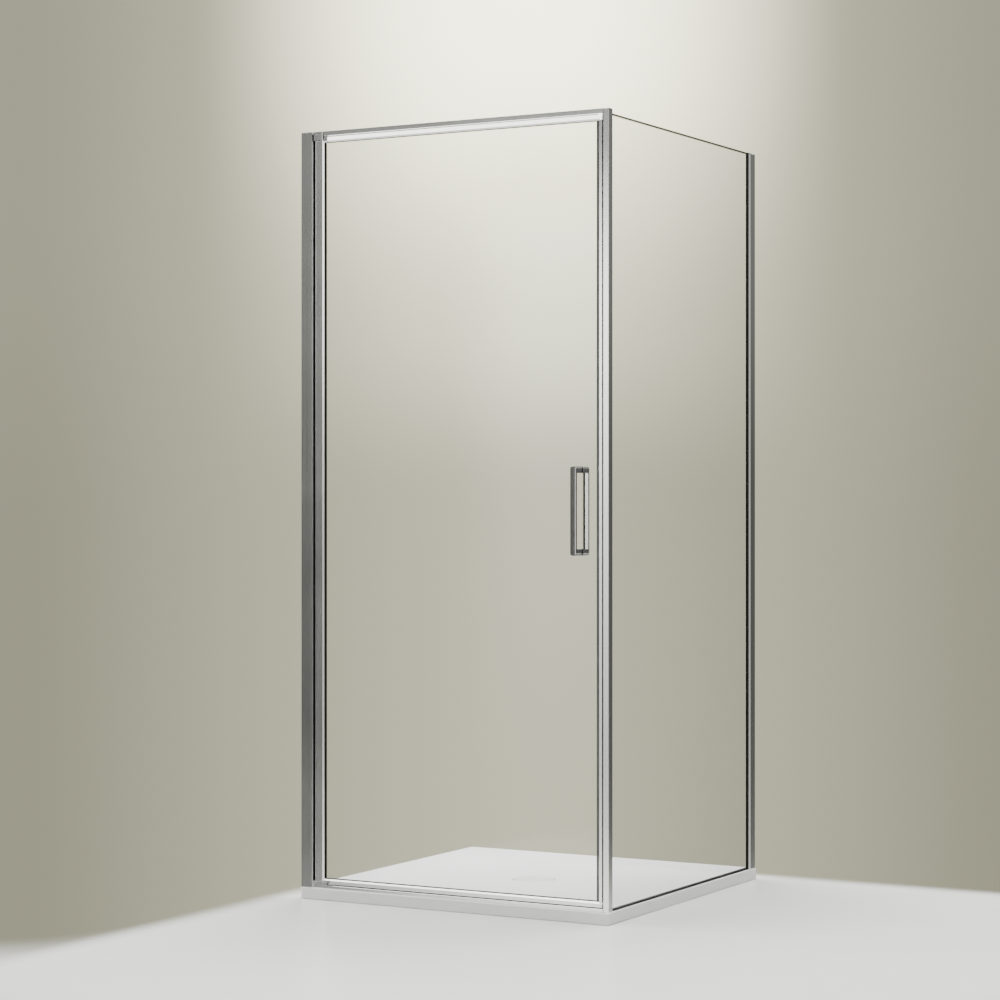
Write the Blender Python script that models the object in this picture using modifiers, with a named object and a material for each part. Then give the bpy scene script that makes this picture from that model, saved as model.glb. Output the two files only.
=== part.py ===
"""Square corner shower enclosure: a low tray, a framed pivot door and a fixed glass side panel.

Metres, +Z up. X runs along the door, from the left wall and the hinge to the corner post. Y runs from
the door to the back wall. The origin is the middle of the enclosure's footprint, at floor level.
"""

import math

import bmesh
import bpy
from mathutils import Vector

# Fits
GAP = 0.0003
OVERRUN = 0.002
WELD = 0.000001
MERGE = 0.00005

# Overall
TRAY_WIDTH = 0.900
TRAY_DEPTH = 0.900
TRAY_HEIGHT = 0.030
OVERALL_HEIGHT = 2.000
SIDE_PANEL_DROP = 0.0095
FRONT_SETBACK = 0.008
SIDE_SETBACK = 0.004
CHANNEL_SETBACK = 0.003
FRAME_DEPTH = 0.022
FIXING_SHARES = (0.12, 0.50, 0.88)

# Tray and waste
TRAY_FREE_CORNER = 0.010
TRAY_WALL_CORNER = 0.003
TRAY_EDGE = 0.0025
TRAY_RIM = 0.055
TRAY_FALL = 0.005
TRAY_SQUARENESS = 9.0
WASTE_APRON = 0.010
WASTE_RECESS_RADIUS = 0.0585
WASTE_RECESS_DEPTH = 0.0085
WASTE_HOLE_RADIUS = 0.0455
WASTE_FLANGE_RADIUS = 0.0565
WASTE_FLANGE_THICKNESS = 0.0022
WASTE_NECK_WALL = 0.0035
WASTE_NECK_END = 0.001
WASTE_SEAL_WIDTH = 0.007
WASTE_SEAL_THICKNESS = 0.0016
COVER_RADIUS = 0.0565
COVER_THICKNESS = 0.0025
COVER_EDGE = 0.0008
COVER_FOOT_RADIUS = 0.050
COVER_FOOT_WALL = 0.003
COVER_FOOT_SPACE = 0.040
COVER_NOTCH_RADIUS = 0.006
COVER_NOTCH_ANGLE = math.radians(219)

# Glass and its seals
GLASS_THICKNESS = 0.006
GLASS_EDGE = 0.0006
GASKET_WALL = 0.0012
GASKET_BASE = 0.0008
GASKET_EDGE = 0.0005
SLOT_DEPTH = 0.0056
STILE_GASKET_REVEAL = 0.0030
RAIL_GASKET_REVEAL = 0.0012
BOTTOM_SEAL_BASE = 0.0012
BOTTOM_SEAL_HEIGHT = 0.003

# Wall channel, jamb and their fixings
CHANNEL_WIDTH = 0.0330
CHANNEL_DEPTH = 0.030
CHANNEL_WALL = 0.0018
CHANNEL_BASE = 0.002
JAMB_REVEAL = 0.0007
JAMB_INSET = 0.008
JAMB_WALL = 0.0015
WALL_HOLE_RADIUS = 0.0025
CAP_THICKNESS = 0.002
CAP_EDGE = 0.0008
CAP_PLUG = 0.005
HINGE_SEAL_WIDTH = 0.006
HINGE_SEAL_REACH = 0.0007
HINGE_SEAL_OFFSET = 0.0045
JAMB_SCREW_SET = 0.020
PAN_HEAD_RADIUS = 0.0035
PAN_HEAD_HEIGHT = 0.002
PAN_SHANK_RADIUS = 0.0018
PAN_SHANK_LENGTH = 0.008
DRIVE_RADIUS = 0.0012
DRIVE_DEPTH = 0.0012

# Head rail, sill and corner post
HEAD_RAIL_HEIGHT = 0.0098
SILL_HEIGHT = 0.008
RAIL_WALL = 0.0018
SILL_NOSE = 0.0012
STOP_LIP_THICKNESS = 0.0013
HEAD_STOP_DROP = 0.005
HEAD_RAIL_END_GAP = 0.002
HEAD_RAIL_END_RADIUS = 0.005
SILL_STOP_RISE = 0.0065
POST_WIDTH = 0.0155
POST_CORNER = 0.0012
POST_SLOT_DEPTH = 0.0115
POST_CHAMBER_WIDTH = 0.008
POST_CHAMBER_DEPTH = 0.0055
COUNTERSUNK_RADIUS = 0.003
COUNTERSUNK_HEIGHT = 0.0016
COUNTERSUNK_SHANK = 0.0014
COUNTERSUNK_LENGTH = 0.020
COUNTERSUNK_INSET = 0.0045
HEAD_SCREW_RISE = 0.0038

# Door leaf
DOOR_THICKNESS = 0.020
PIVOT_GAP = 0.0013
STILE_REACH = 0.0205
LIP_CHAMFER = 0.0037
DOOR_OVER_GAP = 0.001
DOOR_UNDER_GAP = 0.0015
TOP_RAIL_HEIGHT = 0.0182
BOTTOM_RAIL_HEIGHT = 0.0144
TOP_CORNER_LENGTH = 0.0107
BOTTOM_CORNER_LENGTH = 0.018
CORNER_TONGUE = 0.012
CHAMBER_END = 0.012
CLOSING_GAP = 0.0027
LOCK_STILE_WIDTH = 0.0114
MAGNET_WIDTH = 0.0074
MAGNET_GROOVE = 0.0015
DOOR_MAGNET_PROUD = 0.0008
POST_MAGNET_PROUD = 0.0009
WIPER_WIDTH = 0.003
WIPER_GROOVE = 0.0024
WIPER_OFFSET = 0.0058
CORNER_SCREW_INSET = 0.0077
CORNER_SCREW_RADIUS = 0.0011
CORNER_SCREW_GRIP = 0.014
CORNER_HEAD_RADIUS = 0.0022
CORNER_HEAD_HEIGHT = 0.0017

# Pivots
PIN_RADIUS = 0.004
PIN_CHAMFER = 0.0005
PIN_IN_BLOCK = 0.017
PIN_IN_BOTTOM_BLOCK = 0.012
PIN_IN_STILE = 0.018
BUSH_WALL = 0.0017
BUSH_LENGTH = 0.016
BUSH_FLANGE_RADIUS = 0.0085
BUSH_FLANGE_THICKNESS = 0.001
TOP_BLOCK_HEIGHT = 0.0225
TOP_BLOCK_REACH = 0.0168
TOP_BLOCK_CORNER = 0.0015
TOP_TONGUE_LENGTH = 0.020
TOP_TONGUE_WIDTH = 0.012
WALL_TONGUE_LENGTH = 0.014
WALL_TONGUE_HEIGHT = 0.012
BOTTOM_BLOCK_RISE = 0.0162
BOTTOM_BLOCK_TALL = 0.0230
BOTTOM_BLOCK_FOOT = 0.0175
NOTCH_HEADROOM = 0.0012
NOTCH_REACH = 0.0042
GRUB_RADIUS = 0.0015
GRUB_DROP = 0.0055
GRUB_INSET = 0.0005

# Side panel's wall channel
SIDE_CHANNEL_DEPTH = 0.0365
SIDE_CHANNEL_BASE = 0.003
SIDE_CHANNEL_GRIP = 0.0215
SIDE_LIP_EDGE = 0.00035
SIDE_LIP_BEVEL = 0.006
SIDE_GASKET_REVEAL = 0.008

# Handles
HANDLE_WIDTH = 0.016
HANDLE_HEIGHT = 0.220
HANDLE_PROJECTION = 0.035
HANDLE_BAR = 0.007
HANDLE_FOOT = 0.016
HANDLE_CORNER = 0.0065
HANDLE_EDGE = 0.0007
HANDLE_FROM_LIP = 0.0546
HANDLE_LEVEL = 1.0129
WASHER_THICKNESS = 0.0006
STUD_RADIUS = 0.0025
STUD_GRIP = 0.016
SLEEVE_RADIUS = 0.0057

# Levels
Z_RIM = TRAY_HEIGHT
Z_BASE = Z_RIM + GAP
Z_SILL = Z_BASE + SILL_HEIGHT
Z_TOP = OVERALL_HEIGHT
Z_HEAD = Z_TOP - HEAD_RAIL_HEIGHT
Z_SIDE_TOP = Z_TOP - SIDE_PANEL_DROP
Z_LEAF_BOTTOM = Z_SILL + DOOR_UNDER_GAP
Z_LEAF_TOP = Z_HEAD - DOOR_OVER_GAP
Z_BOTTOM_RAIL = Z_LEAF_BOTTOM + BOTTOM_RAIL_HEIGHT
Z_TOP_RAIL = Z_LEAF_TOP - TOP_RAIL_HEIGHT
Z_BLOCK_BOTTOM = Z_BASE + BOTTOM_BLOCK_RISE
Z_BLOCK_TOP = Z_TOP - TOP_BLOCK_HEIGHT
STILE_END_GAP = BUSH_FLANGE_THICKNESS + 2 * GAP
Z_STILE_BOTTOM = Z_BLOCK_BOTTOM + STILE_END_GAP
Z_STILE_TOP = Z_BLOCK_TOP - STILE_END_GAP
GLASS_SEAT = GASKET_BASE + 2 * GAP
Z_DOOR_GLASS_BOTTOM = Z_BOTTOM_RAIL - SLOT_DEPTH + GLASS_SEAT
Z_DOOR_GLASS_TOP = Z_TOP_RAIL + SLOT_DEPTH - GLASS_SEAT
Z_BASIN = Z_RIM - TRAY_FALL
Z_RECESS = Z_BASIN - WASTE_RECESS_DEPTH

# Widths that follow from the glass
SLOT_WIDTH = GLASS_THICKNESS + 2 * (GASKET_WALL + 2 * GAP)
GASKET_WIDTH = SLOT_WIDTH - 2 * GAP
GASKET_MOUTH = GLASS_THICKNESS + 2 * GAP
HALF_DOOR = DOOR_THICKNESS / 2
HALF_SLOT = SLOT_WIDTH / 2

# Plan positions
HANDLE_OVERHANG = HANDLE_PROJECTION + GLASS_THICKNESS / 2 - HALF_DOOR - FRONT_SETBACK
X_WALL = -TRAY_WIDTH / 2
X_FREE = TRAY_WIDTH / 2
Y_FREE = (HANDLE_OVERHANG - TRAY_DEPTH) / 2
Y_WALL = Y_FREE + TRAY_DEPTH
X_JAMB = X_WALL + CHANNEL_WIDTH + JAMB_REVEAL
X_PIVOT = X_JAMB + PIVOT_GAP + HALF_DOOR
Y_FRAME = Y_FREE + FRONT_SETBACK
Y_FRAME_BACK = Y_FRAME + FRAME_DEPTH
Y_LEAF = Y_FRAME + HALF_DOOR
X_STILE = X_PIVOT + STILE_REACH
X_POST = X_FREE - SIDE_SETBACK - POST_WIDTH
X_SIDE = X_POST + POST_WIDTH / 2
X_LOCK = X_POST - CLOSING_GAP
X_LOCK_LIP = X_LOCK - LOCK_STILE_WIDTH
X_DOOR_GLASS_LEFT = X_STILE - SLOT_DEPTH + GLASS_SEAT
X_DOOR_GLASS_RIGHT = X_LOCK_LIP + SLOT_DEPTH - GLASS_SEAT
X_BLOCK_STEP = X_PIVOT + BOTTOM_BLOCK_TALL
X_BLOCK_END = X_BLOCK_STEP + Z_BLOCK_BOTTOM - Z_SILL + BOTTOM_BLOCK_FOOT
X_NOTCH = X_BLOCK_STEP + NOTCH_REACH
Z_NOTCH = Z_BLOCK_BOTTOM + NOTCH_HEADROOM
X_HANDLE = X_LOCK_LIP - HANDLE_FROM_LIP
Y_SIDE_GLASS_FRONT = Y_FRAME_BACK - POST_SLOT_DEPTH + GLASS_SEAT
Y_SIDE_LIP = Y_WALL - SIDE_CHANNEL_DEPTH
Y_SIDE_GLASS_BACK = Y_SIDE_LIP + SIDE_CHANNEL_GRIP
Y_CHANNEL = Y_FREE + CHANNEL_SETBACK

# Ways that an outline can be turned: its two axes are then X and Y, Y and Z, or X and Z
UPRIGHT = (0, 0, 0)
ALONG_X = (math.pi / 2, 0, math.pi / 2)
ALONG_Y = (math.pi / 2, 0, 0)

for old in list(bpy.data.objects):
    bpy.data.objects.remove(old, do_unlink=True)

parts = bpy.data.collections.new("corner_shower_enclosure")
cutters = bpy.data.collections.new("cutters")
bpy.context.scene.collection.children.link(parts)
bpy.context.scene.collection.children.link(cutters)


def finish(name, colour, roughness, metallic=0.0, transmission=0.0):
    """A Principled material in one colour."""
    material = bpy.data.materials.new(name)
    material.use_nodes = True
    shader = material.node_tree.nodes["Principled BSDF"]
    shader.inputs["Base Color"].default_value = (*colour, 1.0)
    shader.inputs["Roughness"].default_value = roughness
    shader.inputs["Metallic"].default_value = metallic
    shader.inputs["Transmission Weight"].default_value = transmission
    return material


TRAY_WHITE = finish("tray_white", (0.80, 0.80, 0.78), 0.35)
COVER_WHITE = finish("cover_white", (0.82, 0.82, 0.80), 0.25)
BRIGHT_ALUMINIUM = finish("bright_aluminium", (0.78, 0.78, 0.77), 0.15, metallic=1.0)
CHROME = finish("chrome", (0.80, 0.80, 0.80), 0.08, metallic=1.0)
STEEL = finish("steel", (0.55, 0.55, 0.55), 0.35, metallic=1.0)
CLEAR_GLASS = finish("clear_glass", (0.93, 0.97, 0.95), 0.0, transmission=1.0)
BLACK_SEAL = finish("black_seal", (0.015, 0.015, 0.015), 0.5)
BUSH_NYLON = finish("bush_nylon", (0.03, 0.03, 0.03), 0.4)
CAP_GREY = finish("cap_grey", (0.45, 0.45, 0.45), 0.3)
CLEAR_SLEEVE = finish("clear_sleeve", (0.85, 0.85, 0.85), 0.2, transmission=0.8)


def arc(centre, radius, start, end, steps):
    """Points on an arc, angles in degrees."""
    points = []
    for step in range(steps + 1):
        angle = math.radians(start + (end - start) * step / steps)
        points.append((centre[0] + radius * math.cos(angle), centre[1] + radius * math.sin(angle)))
    return points


def circle(centre, radius, steps):
    return arc(centre, radius, 0, 360, steps)[:-1]


def rectangle(left, right, low, high):
    return [(left, low), (right, low), (right, high), (left, high)]


def rounded_rectangle(left, right, low, high, radii, steps=5):
    """Radii in the order low left, low right, high right, high left."""
    low_left, low_right, high_right, high_left = radii
    points = arc((left + low_left, low + low_left), low_left, 180, 270, steps)
    points += arc((right - low_right, low + low_right), low_right, 270, 360, steps)
    points += arc((right - high_right, high - high_right), high_right, 0, 90, steps)
    points += arc((left + high_left, high - high_left), high_left, 90, 180, steps)
    return points


def close_mesh(mesh):
    """Weld the caps of a mesh made from a curve and face it outwards."""
    work = bmesh.new()
    work.from_mesh(mesh)
    bmesh.ops.remove_doubles(work, verts=work.verts, dist=WELD)
    bmesh.ops.recalc_face_normals(work, faces=work.faces)
    work.to_mesh(mesh)
    work.free()


def extrusion(name, loops, length):
    """A mesh of one outer loop and any holes, extruded along its local Z about its middle."""
    curve = bpy.data.curves.new(name, "CURVE")
    curve.dimensions = "2D"
    curve.fill_mode = "BOTH"
    curve.extrude = length / 2
    for loop in loops:
        spline = curve.splines.new("POLY")
        spline.points.add(len(loop) - 1)
        for point, (across, along) in zip(spline.points, loop):
            point.co = (across, along, 0, 1)
        spline.use_cyclic_u = True
    source = bpy.data.objects.new(name + "_outline", curve)
    bpy.context.scene.collection.objects.link(source)
    graph = bpy.context.evaluated_depsgraph_get()
    mesh = bpy.data.meshes.new_from_object(source.evaluated_get(graph))
    bpy.data.objects.remove(source)
    bpy.data.curves.remove(curve)
    close_mesh(mesh)
    mesh.name = name
    return mesh


def cylinder(name, radius, length, sides=24):
    """A mesh along its local Z about its middle."""
    mesh = bpy.data.meshes.new(name)
    work = bmesh.new()
    bmesh.ops.create_cone(work, cap_ends=True, segments=sides, radius1=radius, radius2=radius, depth=length)
    work.to_mesh(mesh)
    work.free()
    return mesh


def box(name, size):
    """A mesh of a box about its middle."""
    mesh = bpy.data.meshes.new(name)
    work = bmesh.new()
    bmesh.ops.create_cube(work, size=1.0)
    bmesh.ops.scale(work, verts=work.verts, vec=size)
    work.to_mesh(mesh)
    work.free()
    return mesh


def profile_mesh(name, profile, closed):
    """Edges in the local XZ plane, for a Screw modifier."""
    mesh = bpy.data.meshes.new(name)
    edges = [(index, index + 1) for index in range(len(profile) - 1)]
    if closed:
        edges.append((len(profile) - 1, 0))
    mesh.from_pydata([(radius, 0, height) for radius, height in profile], edges, [])
    return mesh


def turned(obj, steps=32):
    """Turn an object's profile about its local Z. The profile runs down its outer side."""
    screw = obj.modifiers.new("turned", "SCREW")
    screw.steps = steps
    screw.render_steps = steps
    screw.use_merge_vertices = True
    screw.merge_threshold = MERGE
    return obj


def part(name, mesh, material, at, turn=UPRIGHT, carrier=None):
    """One named piece at a world point, carried by an empty where it moves."""
    mesh.materials.clear()
    mesh.materials.append(material)
    obj = bpy.data.objects.new(name, mesh)
    parts.objects.link(obj)
    obj.rotation_euler = turn
    obj.location = Vector(at)
    if carrier:
        obj.parent = carrier
        obj.location = Vector(at) - carrier.location
    return obj


def cutter(name, mesh, at, turn=UPRIGHT):
    """A hidden shape for a Boolean."""
    obj = bpy.data.objects.new(name, mesh)
    cutters.objects.link(obj)
    obj.rotation_euler = turn
    obj.location = Vector(at)
    obj.hide_render = True
    obj.display_type = "WIRE"
    return obj


def boolean(obj, other, operation):
    change = obj.modifiers.new(other.name, "BOOLEAN")
    change.operation = operation
    change.solver = "EXACT"
    change.object = other


def cut(obj, other):
    boolean(obj, other, "DIFFERENCE")


def join(obj, other):
    boolean(obj, other, "UNION")


def round_edges(obj, width, segments=1):
    """Bevel the sharp edges of the shape as it stands so far."""
    bevel = obj.modifiers.new("edges", "BEVEL")
    bevel.width = width
    bevel.segments = segments
    bevel.limit_method = "ANGLE"
    bevel.angle_limit = math.radians(50)
    return obj


def centre_of(low, high):
    return (low + high) / 2


def spread(low, high, shares):
    return [low + (high - low) * share for share in shares]


def u_gasket(length, base=GASKET_BASE):
    """Outline of a U that wraps a glass edge: its base is at zero and its legs run up by length."""
    outer = GASKET_WIDTH / 2
    mouth = GASKET_MOUTH / 2
    return [
        (-outer, 0),
        (outer, 0),
        (outer, length - GASKET_EDGE),
        (outer - GASKET_EDGE, length),
        (mouth, length),
        (mouth, base),
        (-mouth, base),
        (-mouth, length),
        (-outer + GASKET_EDGE, length),
        (-outer, length - GASKET_EDGE),
    ]


def swapped(loop, sign=1):
    """The same outline with its axes changed over, and its new first axis turned by sign."""
    return [(sign * along, across) for across, along in loop]


def raised(loop, sign, level):
    """The same outline with its second axis turned by sign and moved to a level."""
    return [(across, level + sign * along) for across, along in loop]


# Tray and waste


def dish_mesh():
    """The basin's hollow: a soft square at the rim, narrowing to a circle round the waste."""
    rings = 5
    sides = 48
    rim_x = TRAY_WIDTH / 2 - TRAY_RIM
    rim_y = TRAY_DEPTH / 2 - TRAY_RIM
    apron = WASTE_RECESS_RADIUS + WASTE_APRON
    work = bmesh.new()
    loops = []
    for ring in range(-1, rings + 1):
        share = max(ring, 0) / rings
        level = Z_RIM + OVERRUN if ring < 0 else Z_RIM - TRAY_FALL * math.sin(share * math.pi / 2)
        square = TRAY_SQUARENESS + (2.0 - TRAY_SQUARENESS) * share
        loop = []
        for side in range(sides):
            angle = 2 * math.pi * (side + 0.5) / sides
            across, along = math.cos(angle), math.sin(angle)
            reach = (abs(across) ** square + abs(along) ** square) ** (-1 / square)
            width = rim_x + (apron - rim_x) * share
            depth = rim_y + (apron - rim_y) * share
            loop.append(work.verts.new((width * reach * across, depth * reach * along, level)))
        loops.append(loop)
    for upper, lower in zip(loops, loops[1:]):
        for side in range(sides):
            after = (side + 1) % sides
            work.faces.new((upper[side], upper[after], lower[after], lower[side]))
    work.faces.new(loops[0])
    work.faces.new(loops[-1])
    bmesh.ops.recalc_face_normals(work, faces=work.faces)
    mesh = bpy.data.meshes.new("basin")
    work.to_mesh(mesh)
    work.free()
    return mesh


def make_tray():
    """Slab with a rounded free corner, a shallow basin and a stepped hole for the waste."""
    half_x, half_y = TRAY_WIDTH / 2, TRAY_DEPTH / 2
    radii = (TRAY_WALL_CORNER, TRAY_FREE_CORNER, TRAY_WALL_CORNER, TRAY_WALL_CORNER)
    slab = extrusion("shower_tray", [rounded_rectangle(-half_x, half_x, -half_y, half_y, radii)], TRAY_HEIGHT)
    centre = (0, centre_of(Y_FREE, Y_WALL), 0)
    tray = part("shower_tray", slab, TRAY_WHITE, (centre[0], centre[1], Z_RIM / 2))
    round_edges(tray, TRAY_EDGE, 2)
    cut(tray, cutter("basin", dish_mesh(), centre))
    recess_height = WASTE_RECESS_DEPTH + OVERRUN
    recess = cylinder("waste_recess", WASTE_RECESS_RADIUS, recess_height, 48)
    cut(tray, cutter("waste_recess", recess, (centre[0], centre[1], Z_RECESS + recess_height / 2)))
    hole = cylinder("waste_hole", WASTE_HOLE_RADIUS, TRAY_HEIGHT, 48)
    cut(tray, cutter("waste_hole", hole, (centre[0], centre[1], Z_RECESS + OVERRUN - TRAY_HEIGHT / 2)))


def make_waste():
    """Flange and neck on a rubber ring, under a cover that lifts out."""
    centre_y = centre_of(Y_FREE, Y_WALL)
    inner = WASTE_HOLE_RADIUS - GAP - WASTE_NECK_WALL
    z_seal = Z_RECESS + GAP
    z_flange = z_seal + WASTE_SEAL_THICKNESS + GAP
    z_flange_top = z_flange + WASTE_FLANGE_THICKNESS

    seal_inner = WASTE_FLANGE_RADIUS - WASTE_SEAL_WIDTH
    ring = [circle((0, 0), WASTE_FLANGE_RADIUS, 48), circle((0, 0), seal_inner, 48)]
    seal = extrusion("waste_seal", ring, WASTE_SEAL_THICKNESS)
    part("waste_seal", seal, BLACK_SEAL, (0, centre_y, z_seal + WASTE_SEAL_THICKNESS / 2))

    neck = WASTE_HOLE_RADIUS - GAP
    profile = [
        (inner, z_flange_top),
        (WASTE_FLANGE_RADIUS, z_flange_top),
        (WASTE_FLANGE_RADIUS, z_flange),
        (neck, z_flange),
        (neck, WASTE_NECK_END),
        (inner, WASTE_NECK_END),
    ]
    flange = part("waste_flange", profile_mesh("waste_flange", profile, True), CHROME, (0, centre_y, 0))
    turned(flange, 48)

    lift = bpy.data.objects.new("cover_lift", None)
    lift.location = (0, centre_y, Z_BASIN)
    parts.objects.link(lift)
    foot_drop = Z_BASIN - COVER_THICKNESS - z_flange_top - GAP
    outline = [
        (0, 0),
        (COVER_RADIUS - COVER_EDGE, 0),
        (COVER_RADIUS, -COVER_EDGE),
        (COVER_RADIUS, -COVER_THICKNESS),
        (COVER_FOOT_RADIUS, -COVER_THICKNESS),
        (COVER_FOOT_RADIUS, -COVER_THICKNESS - foot_drop),
        (COVER_FOOT_RADIUS - COVER_FOOT_WALL, -COVER_THICKNESS - foot_drop),
        (COVER_FOOT_RADIUS - COVER_FOOT_WALL, -COVER_THICKNESS),
        (0, -COVER_THICKNESS),
    ]
    blank = profile_mesh("waste_cover", outline, False)
    cover = turned(part("waste_cover", blank, COVER_WHITE, (0, centre_y, Z_BASIN), carrier=lift), 48)
    z_feet = Z_BASIN - COVER_THICKNESS - OVERRUN / 2
    for turn in (UPRIGHT, (0, 0, math.pi / 2)):
        way = box("cover_water_way", (2 * COVER_RADIUS, COVER_FOOT_SPACE, OVERRUN))
        cut(cover, cutter("cover_water_way", way, (0, centre_y, z_feet), turn))
    notch = cylinder("cover_notch", COVER_NOTCH_RADIUS, 2 * COVER_THICKNESS, 16)
    notch_x = COVER_RADIUS * math.cos(COVER_NOTCH_ANGLE)
    notch_y = centre_y + COVER_RADIUS * math.sin(COVER_NOTCH_ANGLE)
    cut(cover, cutter("cover_notch", notch, (notch_x, notch_y, Z_BASIN)))


# Wall side of the door


def pan_screw_profile(shank):
    """Head with a round drive recess at the top, over a straight shank."""
    return [
        (0, PAN_HEAD_HEIGHT - DRIVE_DEPTH),
        (DRIVE_RADIUS, PAN_HEAD_HEIGHT - DRIVE_DEPTH),
        (DRIVE_RADIUS, PAN_HEAD_HEIGHT),
        (PAN_HEAD_RADIUS - DRIVE_DEPTH, PAN_HEAD_HEIGHT),
        (PAN_HEAD_RADIUS, PAN_HEAD_HEIGHT - DRIVE_DEPTH),
        (PAN_HEAD_RADIUS, 0),
        (PAN_SHANK_RADIUS, 0),
        (PAN_SHANK_RADIUS, -shank),
        (0, -shank),
    ]


def make_wall_channel():
    """U channel on the left wall, with its cap and its fixing holes."""
    inner_depth = CHANNEL_DEPTH - CHANNEL_WALL
    outline = [
        (0, 0),
        (CHANNEL_WIDTH, 0),
        (CHANNEL_WIDTH, CHANNEL_WALL),
        (CHANNEL_BASE, CHANNEL_WALL),
        (CHANNEL_BASE, inner_depth),
        (CHANNEL_WIDTH, inner_depth),
        (CHANNEL_WIDTH, CHANNEL_DEPTH),
        (0, CHANNEL_DEPTH),
    ]
    z_top = Z_TOP - CAP_THICKNESS - GAP
    mesh = extrusion("wall_channel_left", [outline], z_top - Z_BASE)
    at = (X_WALL, Y_CHANNEL, centre_of(Z_BASE, z_top))
    channel = part("wall_channel_left", mesh, BRIGHT_ALUMINIUM, at)
    y_middle = Y_CHANNEL + CHANNEL_DEPTH / 2
    for height in spread(Z_BASE, z_top, FIXING_SHARES):
        hole = cylinder("wall_hole", WALL_HOLE_RADIUS, CHANNEL_BASE + 2 * OVERRUN, 16)
        cut(channel, cutter("wall_hole", hole, (X_WALL + CHANNEL_BASE / 2, y_middle, height), ALONG_X))
    y_face = Y_CHANNEL + CHANNEL_DEPTH
    for height in jamb_screw_levels():
        hole = cylinder("screw_hole", PAN_SHANK_RADIUS + GAP, CHANNEL_WALL + 2 * OVERRUN, 16)
        at = (X_WALL + JAMB_SCREW_SET, y_face - CHANNEL_WALL / 2, height)
        cut(channel, cutter("screw_hole", hole, at, ALONG_Y))

    plate = box("wall_channel_left_cap", (CHANNEL_WIDTH, CHANNEL_DEPTH, CAP_THICKNESS))
    at = (X_WALL + CHANNEL_WIDTH / 2, y_middle, Z_TOP - CAP_THICKNESS / 2)
    cap = part("wall_channel_left_cap", plate, CAP_GREY, at)
    plug_x = CHANNEL_WIDTH - CHANNEL_BASE - 2 * GAP
    plug_y = inner_depth - CHANNEL_WALL - 2 * GAP
    plug = box("channel_cap_plug", (plug_x, plug_y, CAP_PLUG + CAP_THICKNESS / 2))
    at = (X_WALL + CHANNEL_BASE + GAP + plug_x / 2, y_middle, Z_TOP - CAP_THICKNESS / 2 - CAP_PLUG / 2)
    join(cap, cutter("channel_cap_plug", plug, at))


def jamb_screw_levels():
    return spread(Z_BASE, Z_BLOCK_TOP, FIXING_SHARES)


def make_jamb():
    """Box profile that slides in the wall channel, its screws, and the strip that seals the hinge edge."""
    low = CHANNEL_WALL + GAP
    high = CHANNEL_DEPTH - CHANNEL_WALL - GAP
    right = X_JAMB - X_WALL
    outer = rectangle(JAMB_INSET, right, low, high)
    inner = rectangle(JAMB_INSET + JAMB_WALL, right - JAMB_WALL, low + JAMB_WALL, high - JAMB_WALL)
    z_top = Z_BLOCK_TOP - GAP
    mesh = extrusion("hinge_jamb", [outer, inner], z_top - Z_BASE)
    jamb = part("hinge_jamb", mesh, BRIGHT_ALUMINIUM, (X_WALL, Y_CHANNEL, centre_of(Z_BASE, z_top)))

    y_face = Y_CHANNEL + CHANNEL_DEPTH
    names = ("jamb_screw_lower", "jamb_screw_middle", "jamb_screw_upper")
    for name, height in zip(names, jamb_screw_levels()):
        x = X_WALL + JAMB_SCREW_SET
        hole = cylinder("jamb_hole", PAN_SHANK_RADIUS + GAP, JAMB_WALL + 2 * OVERRUN, 16)
        cut(jamb, cutter("jamb_hole", hole, (x, Y_CHANNEL + high - JAMB_WALL / 2, height), ALONG_Y))
        profile = profile_mesh(name, pan_screw_profile(PAN_SHANK_LENGTH), False)
        screw = part(name, profile, STEEL, (x, y_face + GAP, height), (-math.pi / 2, 0, 0))
        turned(screw, 16)

    strip = box("hinge_side_seal", (HINGE_SEAL_REACH, HINGE_SEAL_WIDTH, Z_STILE_TOP - Z_STILE_BOTTOM))
    at = (
        X_JAMB + GAP + HINGE_SEAL_REACH / 2,
        Y_LEAF - HINGE_SEAL_OFFSET,
        centre_of(Z_STILE_BOTTOM, Z_STILE_TOP),
    )
    part("hinge_side_seal", strip, BLACK_SEAL, at)


# Fixed frame


def make_head_rail():
    """Hollow rail over the door, with a stop lip behind the leaf."""
    lip = FRAME_DEPTH - STOP_LIP_THICKNESS
    outer = [
        (0, 0),
        (lip, 0),
        (lip, -HEAD_STOP_DROP),
        (FRAME_DEPTH, -HEAD_STOP_DROP),
        (FRAME_DEPTH, HEAD_RAIL_HEIGHT),
        (0, HEAD_RAIL_HEIGHT),
    ]
    wall = RAIL_WALL
    inner = rectangle(wall, FRAME_DEPTH - wall, wall, HEAD_RAIL_HEIGHT - wall)
    left = X_PIVOT + TOP_BLOCK_REACH + HEAD_RAIL_END_GAP
    right = X_POST - GAP
    mesh = extrusion("head_rail", [outer, inner], right - left)
    rail = part("head_rail", mesh, BRIGHT_ALUMINIUM, (centre_of(left, right), Y_FRAME, Z_HEAD), ALONG_X)
    radius = HEAD_RAIL_END_RADIUS
    low = -HEAD_STOP_DROP - OVERRUN
    corner = [(-OVERRUN, low), (radius, low)] + arc((radius, radius), radius, 270, 180, 6) + [(-OVERRUN, radius)]
    shape = extrusion("rail_end_corner", [corner], FRAME_DEPTH + 2 * OVERRUN)
    cut(rail, cutter("rail_end_corner", shape, (left, centre_of(Y_FRAME, Y_FRAME_BACK), Z_HEAD), ALONG_Y))


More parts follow.
